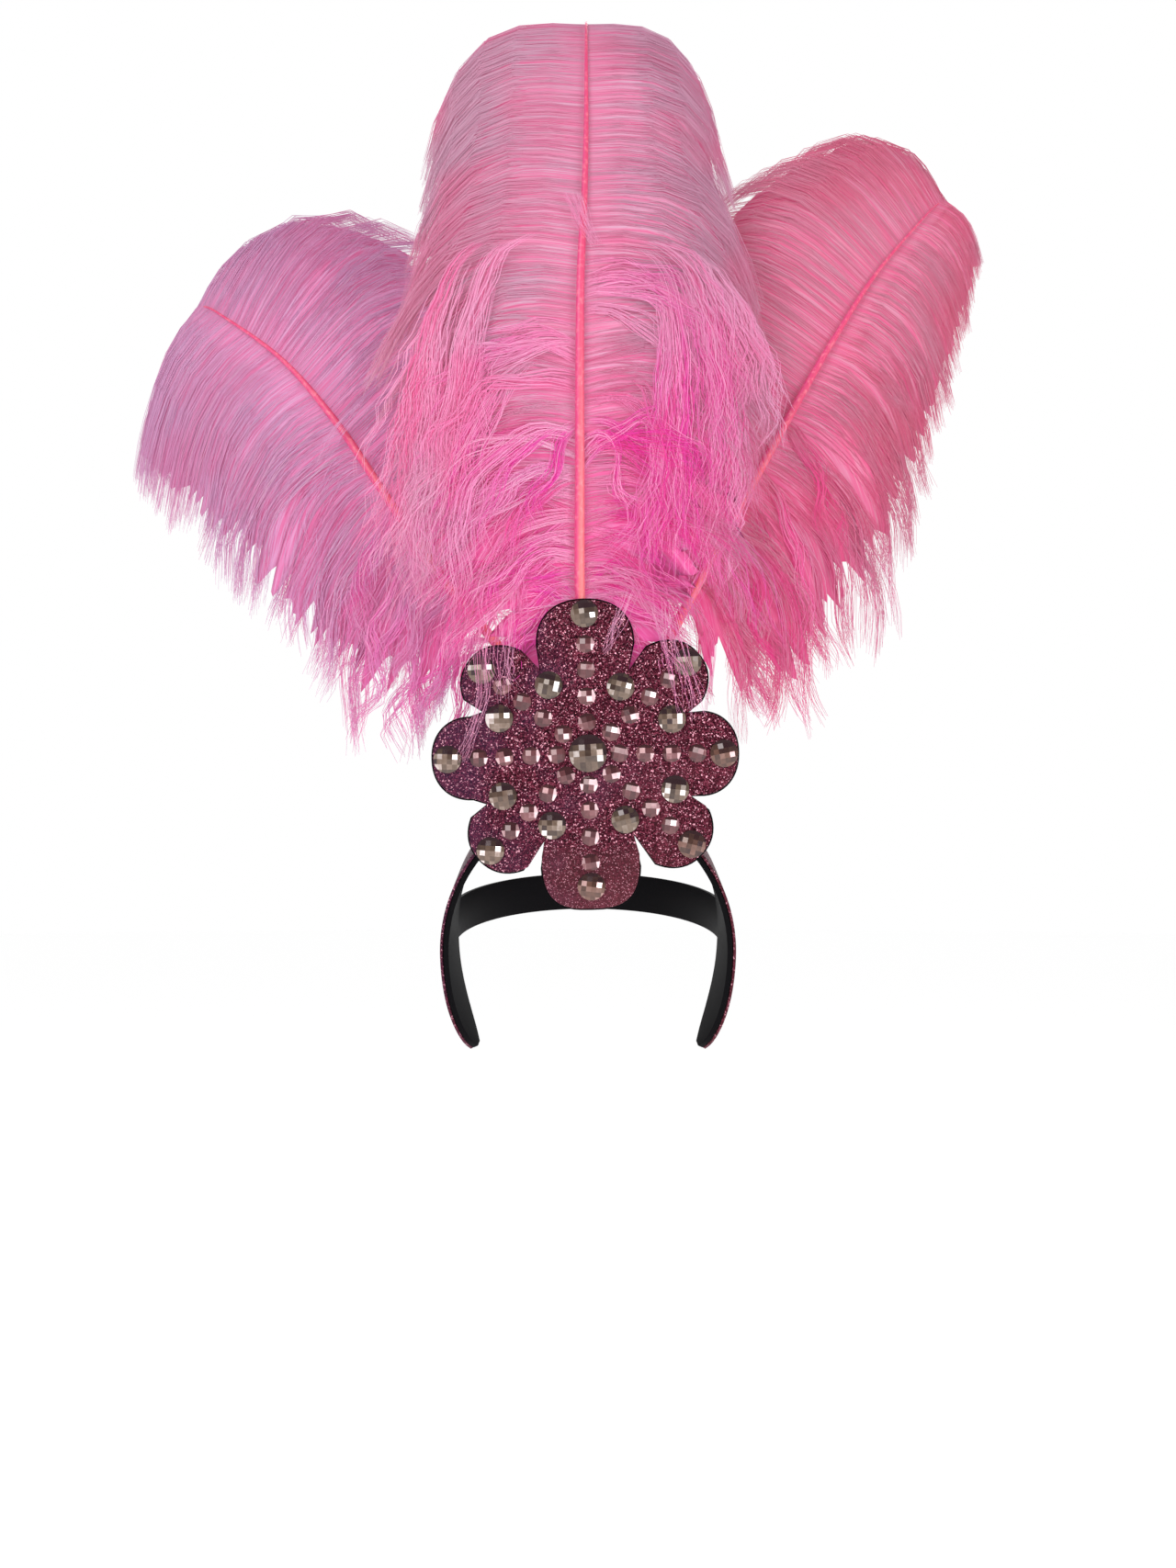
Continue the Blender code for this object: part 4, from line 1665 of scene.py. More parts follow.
@dataclass
class Plume:
    """An ostrich plume: its quill, the web of its vane and the barbs on both sides."""

    name: str
    quill: tuple[Place, ...]
    vane_start: float
    base_radius: float
    tip_start: float
    inner_side: Side
    inner: tuple[VaneRow, ...]
    outer: tuple[VaneRow, ...]
    looks: tuple[LookRow, ...]
    dye: BarbFinish
    fluff: BarbFinish
    seed: int
    copies: int
    tufts: tuple[Tuft, ...] = ()
    falls: tuple[Fall, ...] = ()
    wisps: tuple[Wisp, ...] = ()
    parting: Parting | None = None
    locks: int = 24
    tip_radius: float = 0.6
    tip_thinning: float = 0.55
    taper: float = 1.5
    tip_sink: float = 3.4
    sink_length: float = 0.06
    groove_depth: float = 0.16
    groove_power: int = 8
    quill_sides: int = 14
    quill_stations: int = 90
    samples: int = 240
    guides: int = 150
    smooth_steps: int = 6
    loose_steps: int = 11
    wave_length: float = 42.0
    swirl_power: float = 0.8
    sway_share: float = 0.5
    sway_ratio: float = 1.3
    full_reach: float = 1.05
    top_loss: float = 0.06
    top_start: float = 0.8
    ragged: Spot = (0.010, 0.09)
    fringe_share: float = 0.5
    fringe_power: float = 1.6
    trim: float = 0.03
    lock_turn: float = 6.5
    lock_rise: float = 3.0
    bunch: int = 4
    bunch_width: float = 0.007
    longest_step: float = 8.0
    fall_step: float = 9.0
    fall_bunch: int = 3
    fall_slope: float = 7.0
    fall_back: float = -12.0
    fall_front: float = -21.0
    web_stations: int = 150
    web_columns: int = 10
    web_start: float = 0.0
    web_reach: float = 0.985
    web_thickness: float = 0.5
    web_behind: float = 1.5
    web_fringe: float = 0.3
    web_ragged: Spot = (0.05, 0.38)
    cut_step: float = 0.04
    cut_most: float = 0.75

    def __post_init__(self) -> None:
        """Works out the quill's curve."""
        self.spine = Spine(self.quill, self.samples)

    def radius_at(self, place: float) -> float:
        """The quill's radius at a share of its length, thin where its curled tip starts."""
        thinning = 1.0 - self.tip_thinning * min(1.0, max(0.0, (place - 0.5) / (self.tip_start - 0.5)))
        return (self.base_radius + (self.tip_radius - self.base_radius) * place**self.taper) * thinning

    def place_of(self, share: float) -> float:
        """The share of the whole quill that a share of the vane stands for."""
        return self.vane_start + (1.0 - self.vane_start) * share

    def rows(self, side: Side) -> tuple[VaneRow, ...]:
        """The rows of one side."""
        return self.inner if side == self.inner_side else self.outer

    def root_of(self, share: float) -> tuple[np.ndarray, np.ndarray, np.ndarray]:
        """Where a barb starts, just behind the quill, with the tangent and the normal there.

        Args:
            share: share of the vane.

        Returns:
            The root, the tangent and the normal.
        """
        place = self.place_of(share)
        point, tangent, normal = self.spine.at(place)
        return point - normal * (self.radius_at(place) + self.web_behind), tangent, normal

    def run(self, share: float, side: Side, bend: Bend, steps: int, swirl: Swirl = Swirl()) -> np.ndarray:
        """Points of a barb, which leaves the quill at its lean, bends down, curls back and may wave.

        Args:
            share: share of the vane where it starts.
            side: the side of the quill.
            bend: its length and bend.
            steps: how many pieces it has.
            swirl: its waves.

        Returns:
            Its points.
        """
        root, tangent, normal = self.root_of(share)
        angle = math.radians(bend.lean)
        start = math.cos(angle) * tangent + math.sin(angle) * side.value * np.cross(tangent, normal)
        points = [root]
        for step in range(steps):
            progress = (step + 0.5) / steps
            heading = start + progress**bend.power * (bend.droop * DOWN - bend.curl * normal)
            heading = heading / np.linalg.norm(heading)
            phase = swirl.start + 2 * math.pi * swirl.turns * progress
            sway = self.sway_share * math.cos(self.sway_ratio * phase) * normal
            wave = math.sin(phase) * np.cross(heading, normal) + sway
            heading = heading + swirl.size * progress**self.swirl_power * wave
            points.append(points[-1] + heading / np.linalg.norm(heading) * bend.length / steps)
        return np.array(points)

    def barb(
        self,
        share: float,
        side: Side,
        steps: int,
        reach: float,
        turn: float = 0.0,
        swirl: Swirl = Swirl(),
    ) -> np.ndarray:
        """One barb of the vane.

        Args:
            share: share of the vane.
            side: the side of the quill.
            steps: how many pieces it has.
            reach: share of the full length.
            turn: degrees that are added to its lean.
            swirl: its waves.

        Returns:
            Its points.
        """
        bend = Bend(*(row_value(self.rows(side), column, share) for column in Bend._fields))
        bend = bend._replace(length=bend.length * reach, lean=bend.lean + turn)
        return self.run(share, side, bend, steps, swirl)

    def build_quill(self) -> None:
        """Makes the quill with a shallow groove down its front."""
        profiles, shares, across = [], [], []
        for place in np.linspace(0.0, 1.0, self.quill_stations):
            point, tangent, normal = self.spine.at(place)
            sideways = np.cross(tangent, normal)
            radius = self.radius_at(place)
            sunk = min(1.0, max(0.0, (place - self.tip_start) / self.sink_length))
            point = point - normal * self.tip_sink * sunk
            profile = []
            for side in range(self.quill_sides):
                turn = 2 * math.pi * side / self.quill_sides
                groove = 1.0 - self.groove_depth * max(0.0, math.sin(turn)) ** self.groove_power
                offset = math.cos(turn) * sideways + math.sin(turn) * normal
                profile.append(Vector(point + radius * groove * offset))
                shares.append(place)
                across.append(0.5 + 0.5 * math.cos(turn))
            profiles.append(profile)
        mesh = mesh_from_bmesh(f"{self.name}_quill_dyed", bmesh_from(*swept(profiles)), 60.0)
        set_attribute(mesh, "share", np.array(shares))
        set_attribute(mesh, "across", np.array(across))
        add_piece(mesh.name, mesh, QUILL_DYE, Slot.QUILL, f"{self.name}_quill")

    def build_web(self) -> None:
        """Makes the thin closed sheet of packed barbs under the loose ones."""
        columns = 2 * self.web_columns + 1
        middle = np.zeros((self.web_stations, columns, 3))
        normals = np.zeros_like(middle)
        shares = np.linspace(self.web_start, 1.0, self.web_stations)
        rng = np.random.default_rng(self.seed + 5)
        heats = []
        for number, share in enumerate(shares):
            heats.append(row_value(self.looks, "heat", share))
            loose = row_value(self.looks, "loose", share)
            for side in Side:
                fringe = row_value(self.rows(side), "fringe", share)
                ragged = self.web_ragged[0] + self.web_ragged[1] * loose
                cut = self.web_fringe * fringe + rng.uniform(0.0, ragged)
                barb = self.barb(share, side, self.web_columns, self.web_reach - cut)
                while self.parting and cut < self.cut_most and self.parting.crossed(barb):
                    cut += self.cut_step
                    barb = self.barb(share, side, self.web_columns, self.web_reach - cut)
                for column, point in enumerate(barb):
                    middle[number, self.web_columns + side.value * column] = point
            normals[number] = self.root_of(share)[2]
        half = normals * self.web_thickness / 2
        grids = np.concatenate([(middle + half).reshape(-1, 3), (middle - half).reshape(-1, 3)])
        mesh = bpy.data.meshes.new(f"{self.name}_web")
        mesh.from_pydata((grids * MM).tolist(), [], self._shell_faces(self.web_stations, columns))
        mesh.update()
        along = np.abs(np.arange(columns) - self.web_columns) / self.web_columns
        set_attribute(mesh, "share", np.tile(np.repeat(shares, columns), 2))
        set_attribute(mesh, "along", np.tile(np.tile(along, self.web_stations), 2))
        set_attribute(mesh, "pink", np.tile(np.repeat(np.array(heats), columns), 2))
        mesh.shade_smooth()
        finish = WebFinish(f"{self.dye.name} web", dye=self.dye)
        add_piece(mesh.name, mesh, finish, Slot.BARBS, f"{self.name}_plume")

    @staticmethod
    def _shell_faces(rows: int, columns: int) -> list[list[int]]:
        """Faces of a closed shell between two grids of points.

        Args:
            rows: rows of each grid.
            columns: columns of each grid.

        Returns:
            Lists of point numbers; the second grid's points follow the first's.
        """
        offset = rows * columns
        faces = []
        for row in range(rows - 1):
            for column in range(columns - 1):
                corners = [row * columns + column, row * columns + column + 1]
                corners += [corners[1] + columns, corners[0] + columns]
                faces.append(corners)
                faces.append([offset + corner for corner in reversed(corners)])
        rim = list(range(columns - 1))
        rim += [row * columns + columns - 1 for row in range(rows - 1)]
        rim += [(rows - 1) * columns + column for column in range(columns - 1, 0, -1)]
        rim += [row * columns for row in range(rows - 1, 0, -1)]
        for here, there in zip(rim, rim[1:] + rim[:1]):
            faces.append([offset + here, offset + there, there, here])
        return faces

    def vane_guides(self, side: Side, rng: Random) -> Guides:
        """Guide lines for one side of the vane, which gather into pointed locks where the vane is loose.

        Args:
            side: the side of the quill.
            rng: where their differences come from.

        Returns:
            The lines.
        """
        guides = Guides()
        lengths, turns, rises, pulls = rng.normal(0.0, 1.0, (4, self.locks))
        for number in range(self.guides):
            share = (number + rng.uniform(0.3, 0.7)) / self.guides
            lock = min(int(share * self.locks), self.locks - 1)
            middle = (lock + 0.5) / self.locks
            aside = abs(share - middle) * 2 * self.locks
            loose = row_value(self.looks, "loose", share)
            fringe = row_value(self.rows(side), "fringe", share)
            reach = self.full_reach - self.top_loss * max(0.0, share - self.top_start) / 0.2
            reach = reach + lengths[lock] * (self.ragged[0] + self.ragged[1] * loose)
            cut = self.fringe_share * fringe * aside**self.fringe_power
            reach = reach - cut - rng.uniform(0.0, self.trim)
            turn = turns[lock] * self.lock_turn * loose + rng.normal(0.0, 0.4 + 5.0 * loose)
            steps = self.loose_steps if loose > 0.4 else self.smooth_steps
            root, tangent, normal = self.root_of(share)
            progress = np.linspace(0.0, 1.0, steps + 1)[:, None]
            gather = min(1.0, max(0.0, (loose - 0.1) * (0.6 + 0.3 * pulls[lock]))) * progress**1.5
            swirl = Swirl(0.5 * loose, 1.3 + 0.4 * pulls[lock], 3.0 * rises[lock] + rng.normal(0.0, 0.7))
            line = self.barb(share, side, steps, reach, turn, swirl) * (1.0 - gather)
            line = line + self.barb(middle, side, steps, reach, turn, swirl) * gather
            line = line + normal * (rises[lock] * self.lock_rise * loose) * progress**1.5
            if self.parting and self.parting.crossed(line):
                continue
            guides.add(
                line,
                root=root * MM,
                way=tangent,
                out=normal,
                loose=loose,
                clump=row_value(self.looks, "clump", share) * rng.uniform(0.75, 1.1),
                pink=row_value(self.looks, "heat", share) * rng.uniform(0.2, 1.6),
                lock=0.5 + rng.uniform(-0.5, 0.5) * (0.15 + loose),
            )
        return guides

    def tuft_guides(self, tuft: Tuft, rng: Random) -> Guides:
        """Guide lines for a tuft.

        Args:
            tuft: the tuft.
            rng: where their differences come from.

        Returns:
            The lines.
        """
        guides = Guides()
        for number in range(tuft.guides):
            if number % self.bunch == 0:
                middle = rng.uniform(tuft.low, tuft.high)
                common = Bend(
                    length=tuft.length * rng.uniform(0.70, 1.08),
                    lean=tuft.lean + rng.normal(0.0, tuft.stray),
                    droop=tuft.droop * rng.uniform(0.7, 1.4),
                    power=tuft.power * rng.uniform(0.8, 1.25),
                    curl=tuft.curl * rng.uniform(0.4, 1.4),
                )
                waviness = rng.uniform(0.3, 0.95) * tuft.loose
                wave = Swirl(waviness, rng.uniform(0.6, 1.3), rng.uniform(0.0, TURN))
                lift, pink, lock = rng.uniform(0.2, 1.0), rng.uniform(0.2, 1.6), rng.uniform(0.0, 1.0)
            share = middle + rng.normal(0.0, self.bunch_width)
            root, _, normal = self.root_of(share)
            length = common.length * rng.uniform(0.8, 1.05)
            bend = common._replace(length=length, lean=common.lean + rng.normal(0.0, 2.5))
            turns = bend.length / self.wave_length * wave.turns
            swirl = Swirl(wave.size * rng.uniform(0.8, 1.2), turns, wave.start + rng.normal(0.0, 0.5))
            steps = max(self.loose_steps, int(bend.length / self.longest_step))
            line = self.run(share, tuft.side, bend, steps, swirl)
            line = line + normal * lift * tuft.front * np.linspace(0.0, 1.0, steps + 1)[:, None] ** 0.6
            if self.parting and self.parting.crossed(line):
                continue
            way = np.cross(line[-1] - line[0], normal)
            guides.add(
                line,
                root=root * MM,
                way=way / np.linalg.norm(way),
                out=normal,
                loose=tuft.loose,
                clump=rng.uniform(0.1, 0.6),
                pink=tuft.heat * pink * rng.uniform(0.6, 1.3),
                lock=0.75 * lock + 0.25 * rng.uniform(0.0, 1.0),
            )
        return guides

    def fall_guides(self, fall: Fall, rng: Random) -> Guides:
        """Guide lines for locks that hang in front of the vane.

        Args:
            fall: the locks.
            rng: where their differences come from.

        Returns:
            The lines.
        """
        guides = Guides()
        path = Spine([(across, self.fall_back, height) for across, height in fall.path], 60)
        for number in range(fall.guides):
            if number % self.fall_bunch == 0:
                shift, depth = rng.uniform(-0.8, 0.8), rng.uniform(0.5, 1.0)
                start, end = rng.uniform(0.0, 0.28), rng.uniform(0.82, 1.0)
                phase, size, waves = rng.uniform(0.0, TURN), rng.uniform(1.2, 4.2), rng.uniform(0.8, 1.7)
                slope = rng.normal(0.0, self.fall_slope)
                pink, lock = rng.uniform(0.3, 1.5), rng.uniform(0.0, 1.0)
            first, last = start + rng.uniform(0.0, 0.20), end - rng.uniform(0.0, 0.20)
            own = path.length * (last - first)
            steps = int(own / self.fall_step)
            line = np.array([path.at(place)[0] for place in np.linspace(first, last, steps + 1)])
            progress = np.linspace(0.0, 1.0, steps + 1)
            turning = 2 * math.pi * own / self.wave_length * waves * progress
            swing = np.sin(phase + rng.normal(0.0, 0.3) + turning)
            line[:, 0] += (shift + rng.normal(0.0, 0.35)) * fall.width * (0.45 + 0.55 * progress)
            own_slope = slope + rng.normal(0.0, 0.5 * self.fall_slope)
            line[:, 0] += size * swing * progress**0.6 + own_slope * progress**1.4
            line[:, 1] += (self.fall_front - self.fall_back) * depth * np.minimum(1.0, 3.0 * progress)
            line[:, 1] += self.sway_share * size * np.cos(self.sway_ratio * np.arcsin(swing)) * progress
            guides.add(
                line,
                root=line[0] * MM,
                way=SIDEWAYS,
                out=FRONT,
                loose=0.9,
                clump=rng.uniform(0.1, 0.6),
                pink=fall.heat * pink * rng.uniform(0.7, 1.2),
                lock=0.75 * lock + 0.25 * rng.uniform(0.0, 1.0),
            )
        return guides

    def wisp_guides(self, rng: Random) -> Guides:
        """Guide lines for the wisps.

        Args:
            rng: where their differences come from.

        Returns:
            The lines.
        """
        guides = Guides()
        for wisp in self.wisps:
            for _ in range(wisp.guides):
                shift = np.array((rng.uniform(-1.0, 1.0) * wisp.width, rng.uniform(-1.5, 0.5), 0.0))
                stray = rng.normal(0.0, 0.3 * wisp.width, (len(wisp.points), 1))
                line = Spine(np.array(wisp.points) + shift + stray, self.loose_steps).curve
                guides.add(
                    line,
                    root=line[0] * MM,
                    way=SIDEWAYS,
                    out=FRONT,
                    loose=0.8,
                    clump=rng.uniform(0.3, 0.8),
                    pink=wisp.heat * rng.uniform(0.5, 1.2),
                    lock=rng.uniform(0.4, 0.9),
                )
        return guides

    def build_barbs(self, grower: BarbGrower) -> None:
        """Grows the barbs of both sides, the tufts, the hanging locks and the wisps.

        Args:
            grower: the barbs' Geometry Nodes.
        """
        rng = np.random.default_rng(self.seed)
        vane_length = self.spine.length * (1 - self.vane_start)
        spread = 1.5 * vane_length / self.guides * MM
        vane = Growth(self.copies, spread, 0.0022, 0.0036, 0.007)
        grown = [(f"barbs_{side.name.lower()}", self.vane_guides(side, rng), self.dye, vane) for side in Side]
        for number, tuft in enumerate(self.tufts, 1):
            grown.append((f"tuft_{number}", self.tuft_guides(tuft, rng), self.fluff, LOOSE))
        for number, fall in enumerate(self.falls, 1):
            grown.append((f"fall_{number}", self.fall_guides(fall, rng), self.fluff, HANGING))
        grown.append(("wisps", self.wisp_guides(rng), self.fluff, THIN))
        for number, (part, guides, finish, growth) in enumerate(grown):
            name = f"{self.name}_{part}"
            mesh = grower.grow(name, guides, finish, growth, self.seed + number)
            add_piece(name, mesh, finish, Slot.BARBS)

    def build(self, grower: BarbGrower) -> None:
        """Builds and dresses the plume.

        Args:
            grower: the barbs' Geometry Nodes.
        """
        self.build_quill()
        self.build_web()
        self.build_barbs(grower)


SEAT_Y = -12.432
SLOT_BY_PETAL = Parting(across=74.0, height=66.0, half_width=4.5, half_height=22.0)

CENTRE_PLUME = Plume(
    name="centre",
    quill=(
        (-1.5, SEAT_Y, 12.0), (-2.5, SEAT_Y, 64.5), (-4.5, SEAT_Y, 114.5), (-4.5, -15.0, 176.0),
        (-4.5, -16.0, 234.5), (-4.0, -12.0, 286.0), (-2.0, -3.0, 331.0), (-1.0, 12.0, 375.0),
        (-1.0, 32.0, 421.0), (-1.0, 61.0, 447.5), (0.0, 95.0, 440.0), (0.0, 118.0, 406.0),
        (0.0, 126.0, 366.0),
    ),
    vane_start=0.175,
    base_radius=3.0,
    tip_start=0.80,
    inner_side=Side.RIGHT,
    inner=(
        VaneRow(0.00, 66, 74, 1.7, 1.4, -0.4, 0.30),
        VaneRow(0.14, 124, 76, 2.2, 1.8, -0.3, 0.24),
        VaneRow(0.40, 136, 82, 3.4, 2.1, 0.1, 0.16),
        VaneRow(0.62, 106, 84, 4.4, 2.5, 0.3, 0.10),
        VaneRow(0.76, 91, 86, 4.5, 2.8, 0.6, 0.07),
        VaneRow(0.88, 88, 80, 3.5, 2.4, 0.6, 0.05),
        VaneRow(1.00, 46, 25, 1.0, 2.0, 0.2, 0.00),
    ),
    outer=(
        VaneRow(0.00, 66, 74, 1.7, 1.4, -0.4, 0.30),
        VaneRow(0.14, 118, 78, 2.6, 1.8, -0.3, 0.24),
        VaneRow(0.40, 134, 82, 3.4, 2.1, 0.1, 0.16),
        VaneRow(0.62, 125, 84, 4.4, 2.5, 0.3, 0.10),
        VaneRow(0.76, 113, 86, 4.2, 2.8, 0.6, 0.07),
        VaneRow(0.88, 104, 80, 3.5, 2.4, 0.6, 0.05),
        VaneRow(1.00, 50, 25, 1.0, 2.0, 0.2, 0.00),
    ),
    looks=(
        LookRow(0.00, 1.0, 0.40, 0.80),
        LookRow(0.10, 0.85, 0.34, 0.62),
        LookRow(0.20, 0.70, 0.30, 0.28),
        LookRow(0.32, 0.40, 0.24, 0.0),
        LookRow(0.48, 0.15, 0.14, 0.0),
        LookRow(1.00, 0.05, 0.06, 0.0),
    ),
    dye=CENTRE_DYE,
    fluff=CENTRE_FLUFF,
    seed=3,
    copies=14,
    web_start=-0.10,
    tufts=(
        Tuft(Side.LEFT, 0.04, 0.34, 48, 150.0, 78.0, 3.8, 1.5, 0.0, 0.35, 12.0, 9.0, 1.1),
        Tuft(Side.RIGHT, 0.10, 0.38, 36, 150.0, 78.0, 4.6, 1.6, 0.0, 0.40, 11.0, 8.0, 1.0),
        *(Tuft(side, -0.04, 0.20, 50, 92.0, 70.0, 2.6, 1.1, -0.1, 0.8, 9.0, 20.0, 1.3) for side in Side),
        Tuft(Side.LEFT, -0.15, 0.04, 64, 66.0, 82.0, 0.9, 1.0, 0.0, 0.7, 4.0, 24.0, 1.2),
        Tuft(Side.RIGHT, -0.15, 0.02, 64, 62.0, 82.0, 0.9, 1.0, 0.0, 0.9, 0.0, 24.0, 1.2),
    ),
    falls=(
        Fall(
            ((-44, 310), (-66, 298), (-81, 266), (-90, 230))
            + ((-97, 194), (-103, 159), (-106, 124), (-103, 92)),
            24, 11.0, 0.12,
        ),
        Fall(
            ((-30, 310), (-50, 297), (-62, 266), (-69, 232), (-75, 199), (-81, 164), (-85, 129), (-87, 98)),
            24, 10.0, 0.2,
        ),
        Fall(((-14, 248), (-38, 234), (-56, 209), (-68, 177), (-75, 145), (-78, 112)), 18, 12.0, 0.55),
        Fall(
            ((24, 304), (39, 290), (46, 262), (47, 232), (44, 199), (41, 164), (36, 132), (31, 108)),
            24, 10.0, 0.80,
        ),
        Fall(
            ((32, 305), (52, 292), (63, 264), (68, 234), (69, 199), (65, 164), (57, 134), (50, 106)),
            24, 11.0, 0.58,
        ),
        Fall(((38, 306), (62, 294), (79, 268), (92, 238), (97, 208), (94, 184)), 15, 10.0, 0.25),
        Fall(((-24, 128), (-40, 116), (-55, 102), (-66, 88), (-74, 70)), 12, 9.0, 0.4),
        Fall(((-84, 196), (-94, 176), (-97, 150), (-93, 124), (-86, 98)), 18, 10.0, 0.3),
        Fall(((68, 236), (78, 214), (81, 184), (77, 156), (69, 130), (60, 108)), 15, 8.0, 0.3),
        Fall(((10, 240), (30, 226), (40, 198), (39, 166), (30, 134), (24, 112)), 15, 9.0, 0.8),
    ),
    wisps=(
        Wisp(
            ((-59.2, -25.5, 88.0), (-57.7, -26.0, 66.3), (-57.2, -26.0, 55.4), (-68.6, -25.0, 22.6)),
            2, 0.6, 0.1,
        ),
        Wisp(
            ((-53.0, -20.0, 112.0), (-51.2, -25.0, 88.7), (-49.7, -26.0, 71.3), (-47.2, -24.0, 57.0)),
            3, 8.0, 0.2,
        ),
        Wisp(
            ((40.0, -20.0, 106.0), (47.0, -25.0, 84.0), (53.7, -26.0, 66.3), (60.0, -24.0, 47.0)),
            3, 6.0, 0.3,
        ),
        Wisp(((27.0, -19.0, 114.0), (19.5, -22.5, 98.0), (12.0, -22.5, 80.0)), 2, 3.5, 0.3),
        Wisp(
            ((-9.0, -4.0, 333.0), (-5.0, -8.4, 321.4), (-3.0, -10.0, 315.0), (3.0, -12.0, 303.0)),
            7, 0.8, 0.0,
        ),
    ),
    parting=SLOT_BY_PETAL,
)

UPPER_SIDE_LOOKS = (
    LookRow(0.45, 0.35, 0.30, 0.08),
    LookRow(0.65, 0.12, 0.14, 0.0),
    LookRow(1.00, 0.05, 0.06, 0.0),
)

LEFT_PLUME = Plume(
    name="left",
    quill=(
        (-20.0, SEAT_Y, 48.0), (-40.3, -10.6, 72.4), (-65.2, -2.0, 102.6), (-80.1, 3.5, 120.8),
        (-110.6, 13.0, 164.8), (-141.2, 27.0, 210.3), (-173.9, 42.0, 248.8), (-210.3, 62.0, 277.3),
        (-229.0, 84.0, 289.0), (-238.0, 106.0, 282.0), (-243.0, 120.0, 260.0), (-244.0, 126.0, 236.0),
    ),
    vane_start=0.17,
    base_radius=2.9,
    tip_start=0.765,
    inner_side=Side.RIGHT,
    inner=(
        VaneRow(0.00, 60, 78, 0.6, 1.6, 0.0, 0.30),
        VaneRow(0.30, 100, 84, 0.9, 2.0, 0.0, 0.20),
        VaneRow(0.60, 126, 78, 1.2, 2.0, 0.2, 0.12),
        VaneRow(0.80, 104, 66, 1.5, 2.0, 0.3, 0.07),
        VaneRow(1.00, 42, 25, 1.0, 2.0, 0.2, 0.00),
    ),
    outer=(
        VaneRow(0.00, 50, 96, 5.0, 0.7, 0.0, 0.30),
        VaneRow(0.07, 74, 94, 4.6, 0.8, 0.0, 0.30),
        VaneRow(0.15, 106, 88, 4.2, 1.1, 0.0, 0.28),
        VaneRow(0.35, 112, 80, 4.2, 1.7, 0.1, 0.24),
        VaneRow(0.60, 114, 74, 4.4, 1.8, 0.1, 0.16),
        VaneRow(0.80, 100, 66, 4.6, 1.6, 0.2, 0.10),
        VaneRow(0.90, 82, 56, 4.5, 1.3, 0.2, 0.05),
        VaneRow(1.00, 44, 22, 1.0, 2.0, 0.2, 0.00),
    ),
    looks=(
        LookRow(0.00, 1.0, 0.50, 0.60),
        LookRow(0.20, 0.75, 0.36, 0.25),
        *UPPER_SIDE_LOOKS,
    ),
    dye=LEFT_DYE,
    fluff=LEFT_FLUFF,
    seed=21,
    copies=10,
    tufts=(
        Tuft(Side.RIGHT, -0.06, 0.30, 40, 84.0, 60.0, 1.2, 1.2, 0.0, 0.6, 10.0, 20.0, 1.2),
        Tuft(Side.LEFT, -0.08, 0.34, 56, 98.0, 84.0, 4.4, 1.0, 0.0, 0.4, 8.0, 16.0, 1.2),
    ),
    wisps=(
        Wisp(((-121.0, 17.0, 222.0), (-138.0, 18.0, 207.0), (-150.0, 19.0, 186.0)), 3, 2.5, 0.1),
        Wisp(((-74.6, -4.0, 66.0), (-82.0, -4.0, 57.0), (-89.5, -4.0, 39.0)), 3, 1.5, 0.1),
    ),
)

RIGHT_PLUME = Plume(
    name="right",
    quill=(
        (18.0, SEAT_Y, 48.0), (36.2, -10.6, 72.4), (56.5, -2.0, 110.3), (72.6, 4.5, 142.0),
        (91.6, 13.0, 175.0), (118.8, 27.0, 224.2), (140.0, 40.0, 260.8), (164.8, 56.0, 299.8),
        (191.3, 76.0, 332.9), (211.0, 97.0, 354.0), (220.0, 118.0, 349.0), (222.0, 131.0, 323.0),
    ),
    vane_start=0.16,
    base_radius=2.9,
    tip_start=0.83,
    inner_side=Side.LEFT,
    inner=(
        VaneRow(0.00, 60, 78, 0.6, 1.6, 0.0, 0.30),
        VaneRow(0.30, 100, 84, 0.9, 2.0, 0.0, 0.20),
        VaneRow(0.60, 120, 80, 1.4, 2.1, 0.2, 0.12),
        VaneRow(0.80, 112, 63, 1.5, 2.0, 0.3, 0.07),
        VaneRow(1.00, 50, 32, 1.0, 2.0, 0.2, 0.00),
    ),
    outer=(
        VaneRow(0.00, 50, 96, 5.0, 0.7, 0.0, 0.30),
        VaneRow(0.06, 88, 94, 4.6, 0.8, 0.0, 0.30),
        VaneRow(0.15, 116, 88, 4.0, 1.1, 0.0, 0.28),
        VaneRow(0.35, 108, 80, 4.2, 1.6, 0.1, 0.24),
        VaneRow(0.60, 86, 72, 4.2, 1.7, 0.1, 0.16),
        VaneRow(0.80, 53, 59, 4.0, 1.6, 0.2, 0.10),
        VaneRow(1.00, 26, 10, 1.0, 2.0, 0.2, 0.00),
    ),
    looks=(
        LookRow(0.00, 1.0, 0.50, 0.65),
        LookRow(0.20, 0.75, 0.36, 0.30),
        *UPPER_SIDE_LOOKS,
    ),
    dye=RIGHT_DYE,
    fluff=RIGHT_FLUFF,
    seed=41,
    copies=10,
    tufts=(
        Tuft(Side.LEFT, -0.06, 0.30, 40, 84.0, 60.0, 1.2, 1.2, 0.0, 0.6, 10.0, 20.0, 1.2),
        Tuft(Side.RIGHT, 0.02, 0.34, 52, 104.0, 86.0, 4.4, 1.0, 0.0, 0.5, 8.0, 14.0, 1.2),
    ),
    wisps=(
        Wisp(((75.0, -5.0, 96.0), (83.5, -6.0, 72.0), (82.0, -6.0, 52.0), (84.0, -6.0, 33.0)), 4, 1.6, 0.1),
    ),
    parting=SLOT_BY_PETAL,
)


# Studio


class Lamp(NamedTuple):
    """A soft rectangular light: its place, what it looks at, its size in metres and its power in watts."""

    name: str
    place: Place
    target: Place
    size: float
    power: float
    colour: Colour


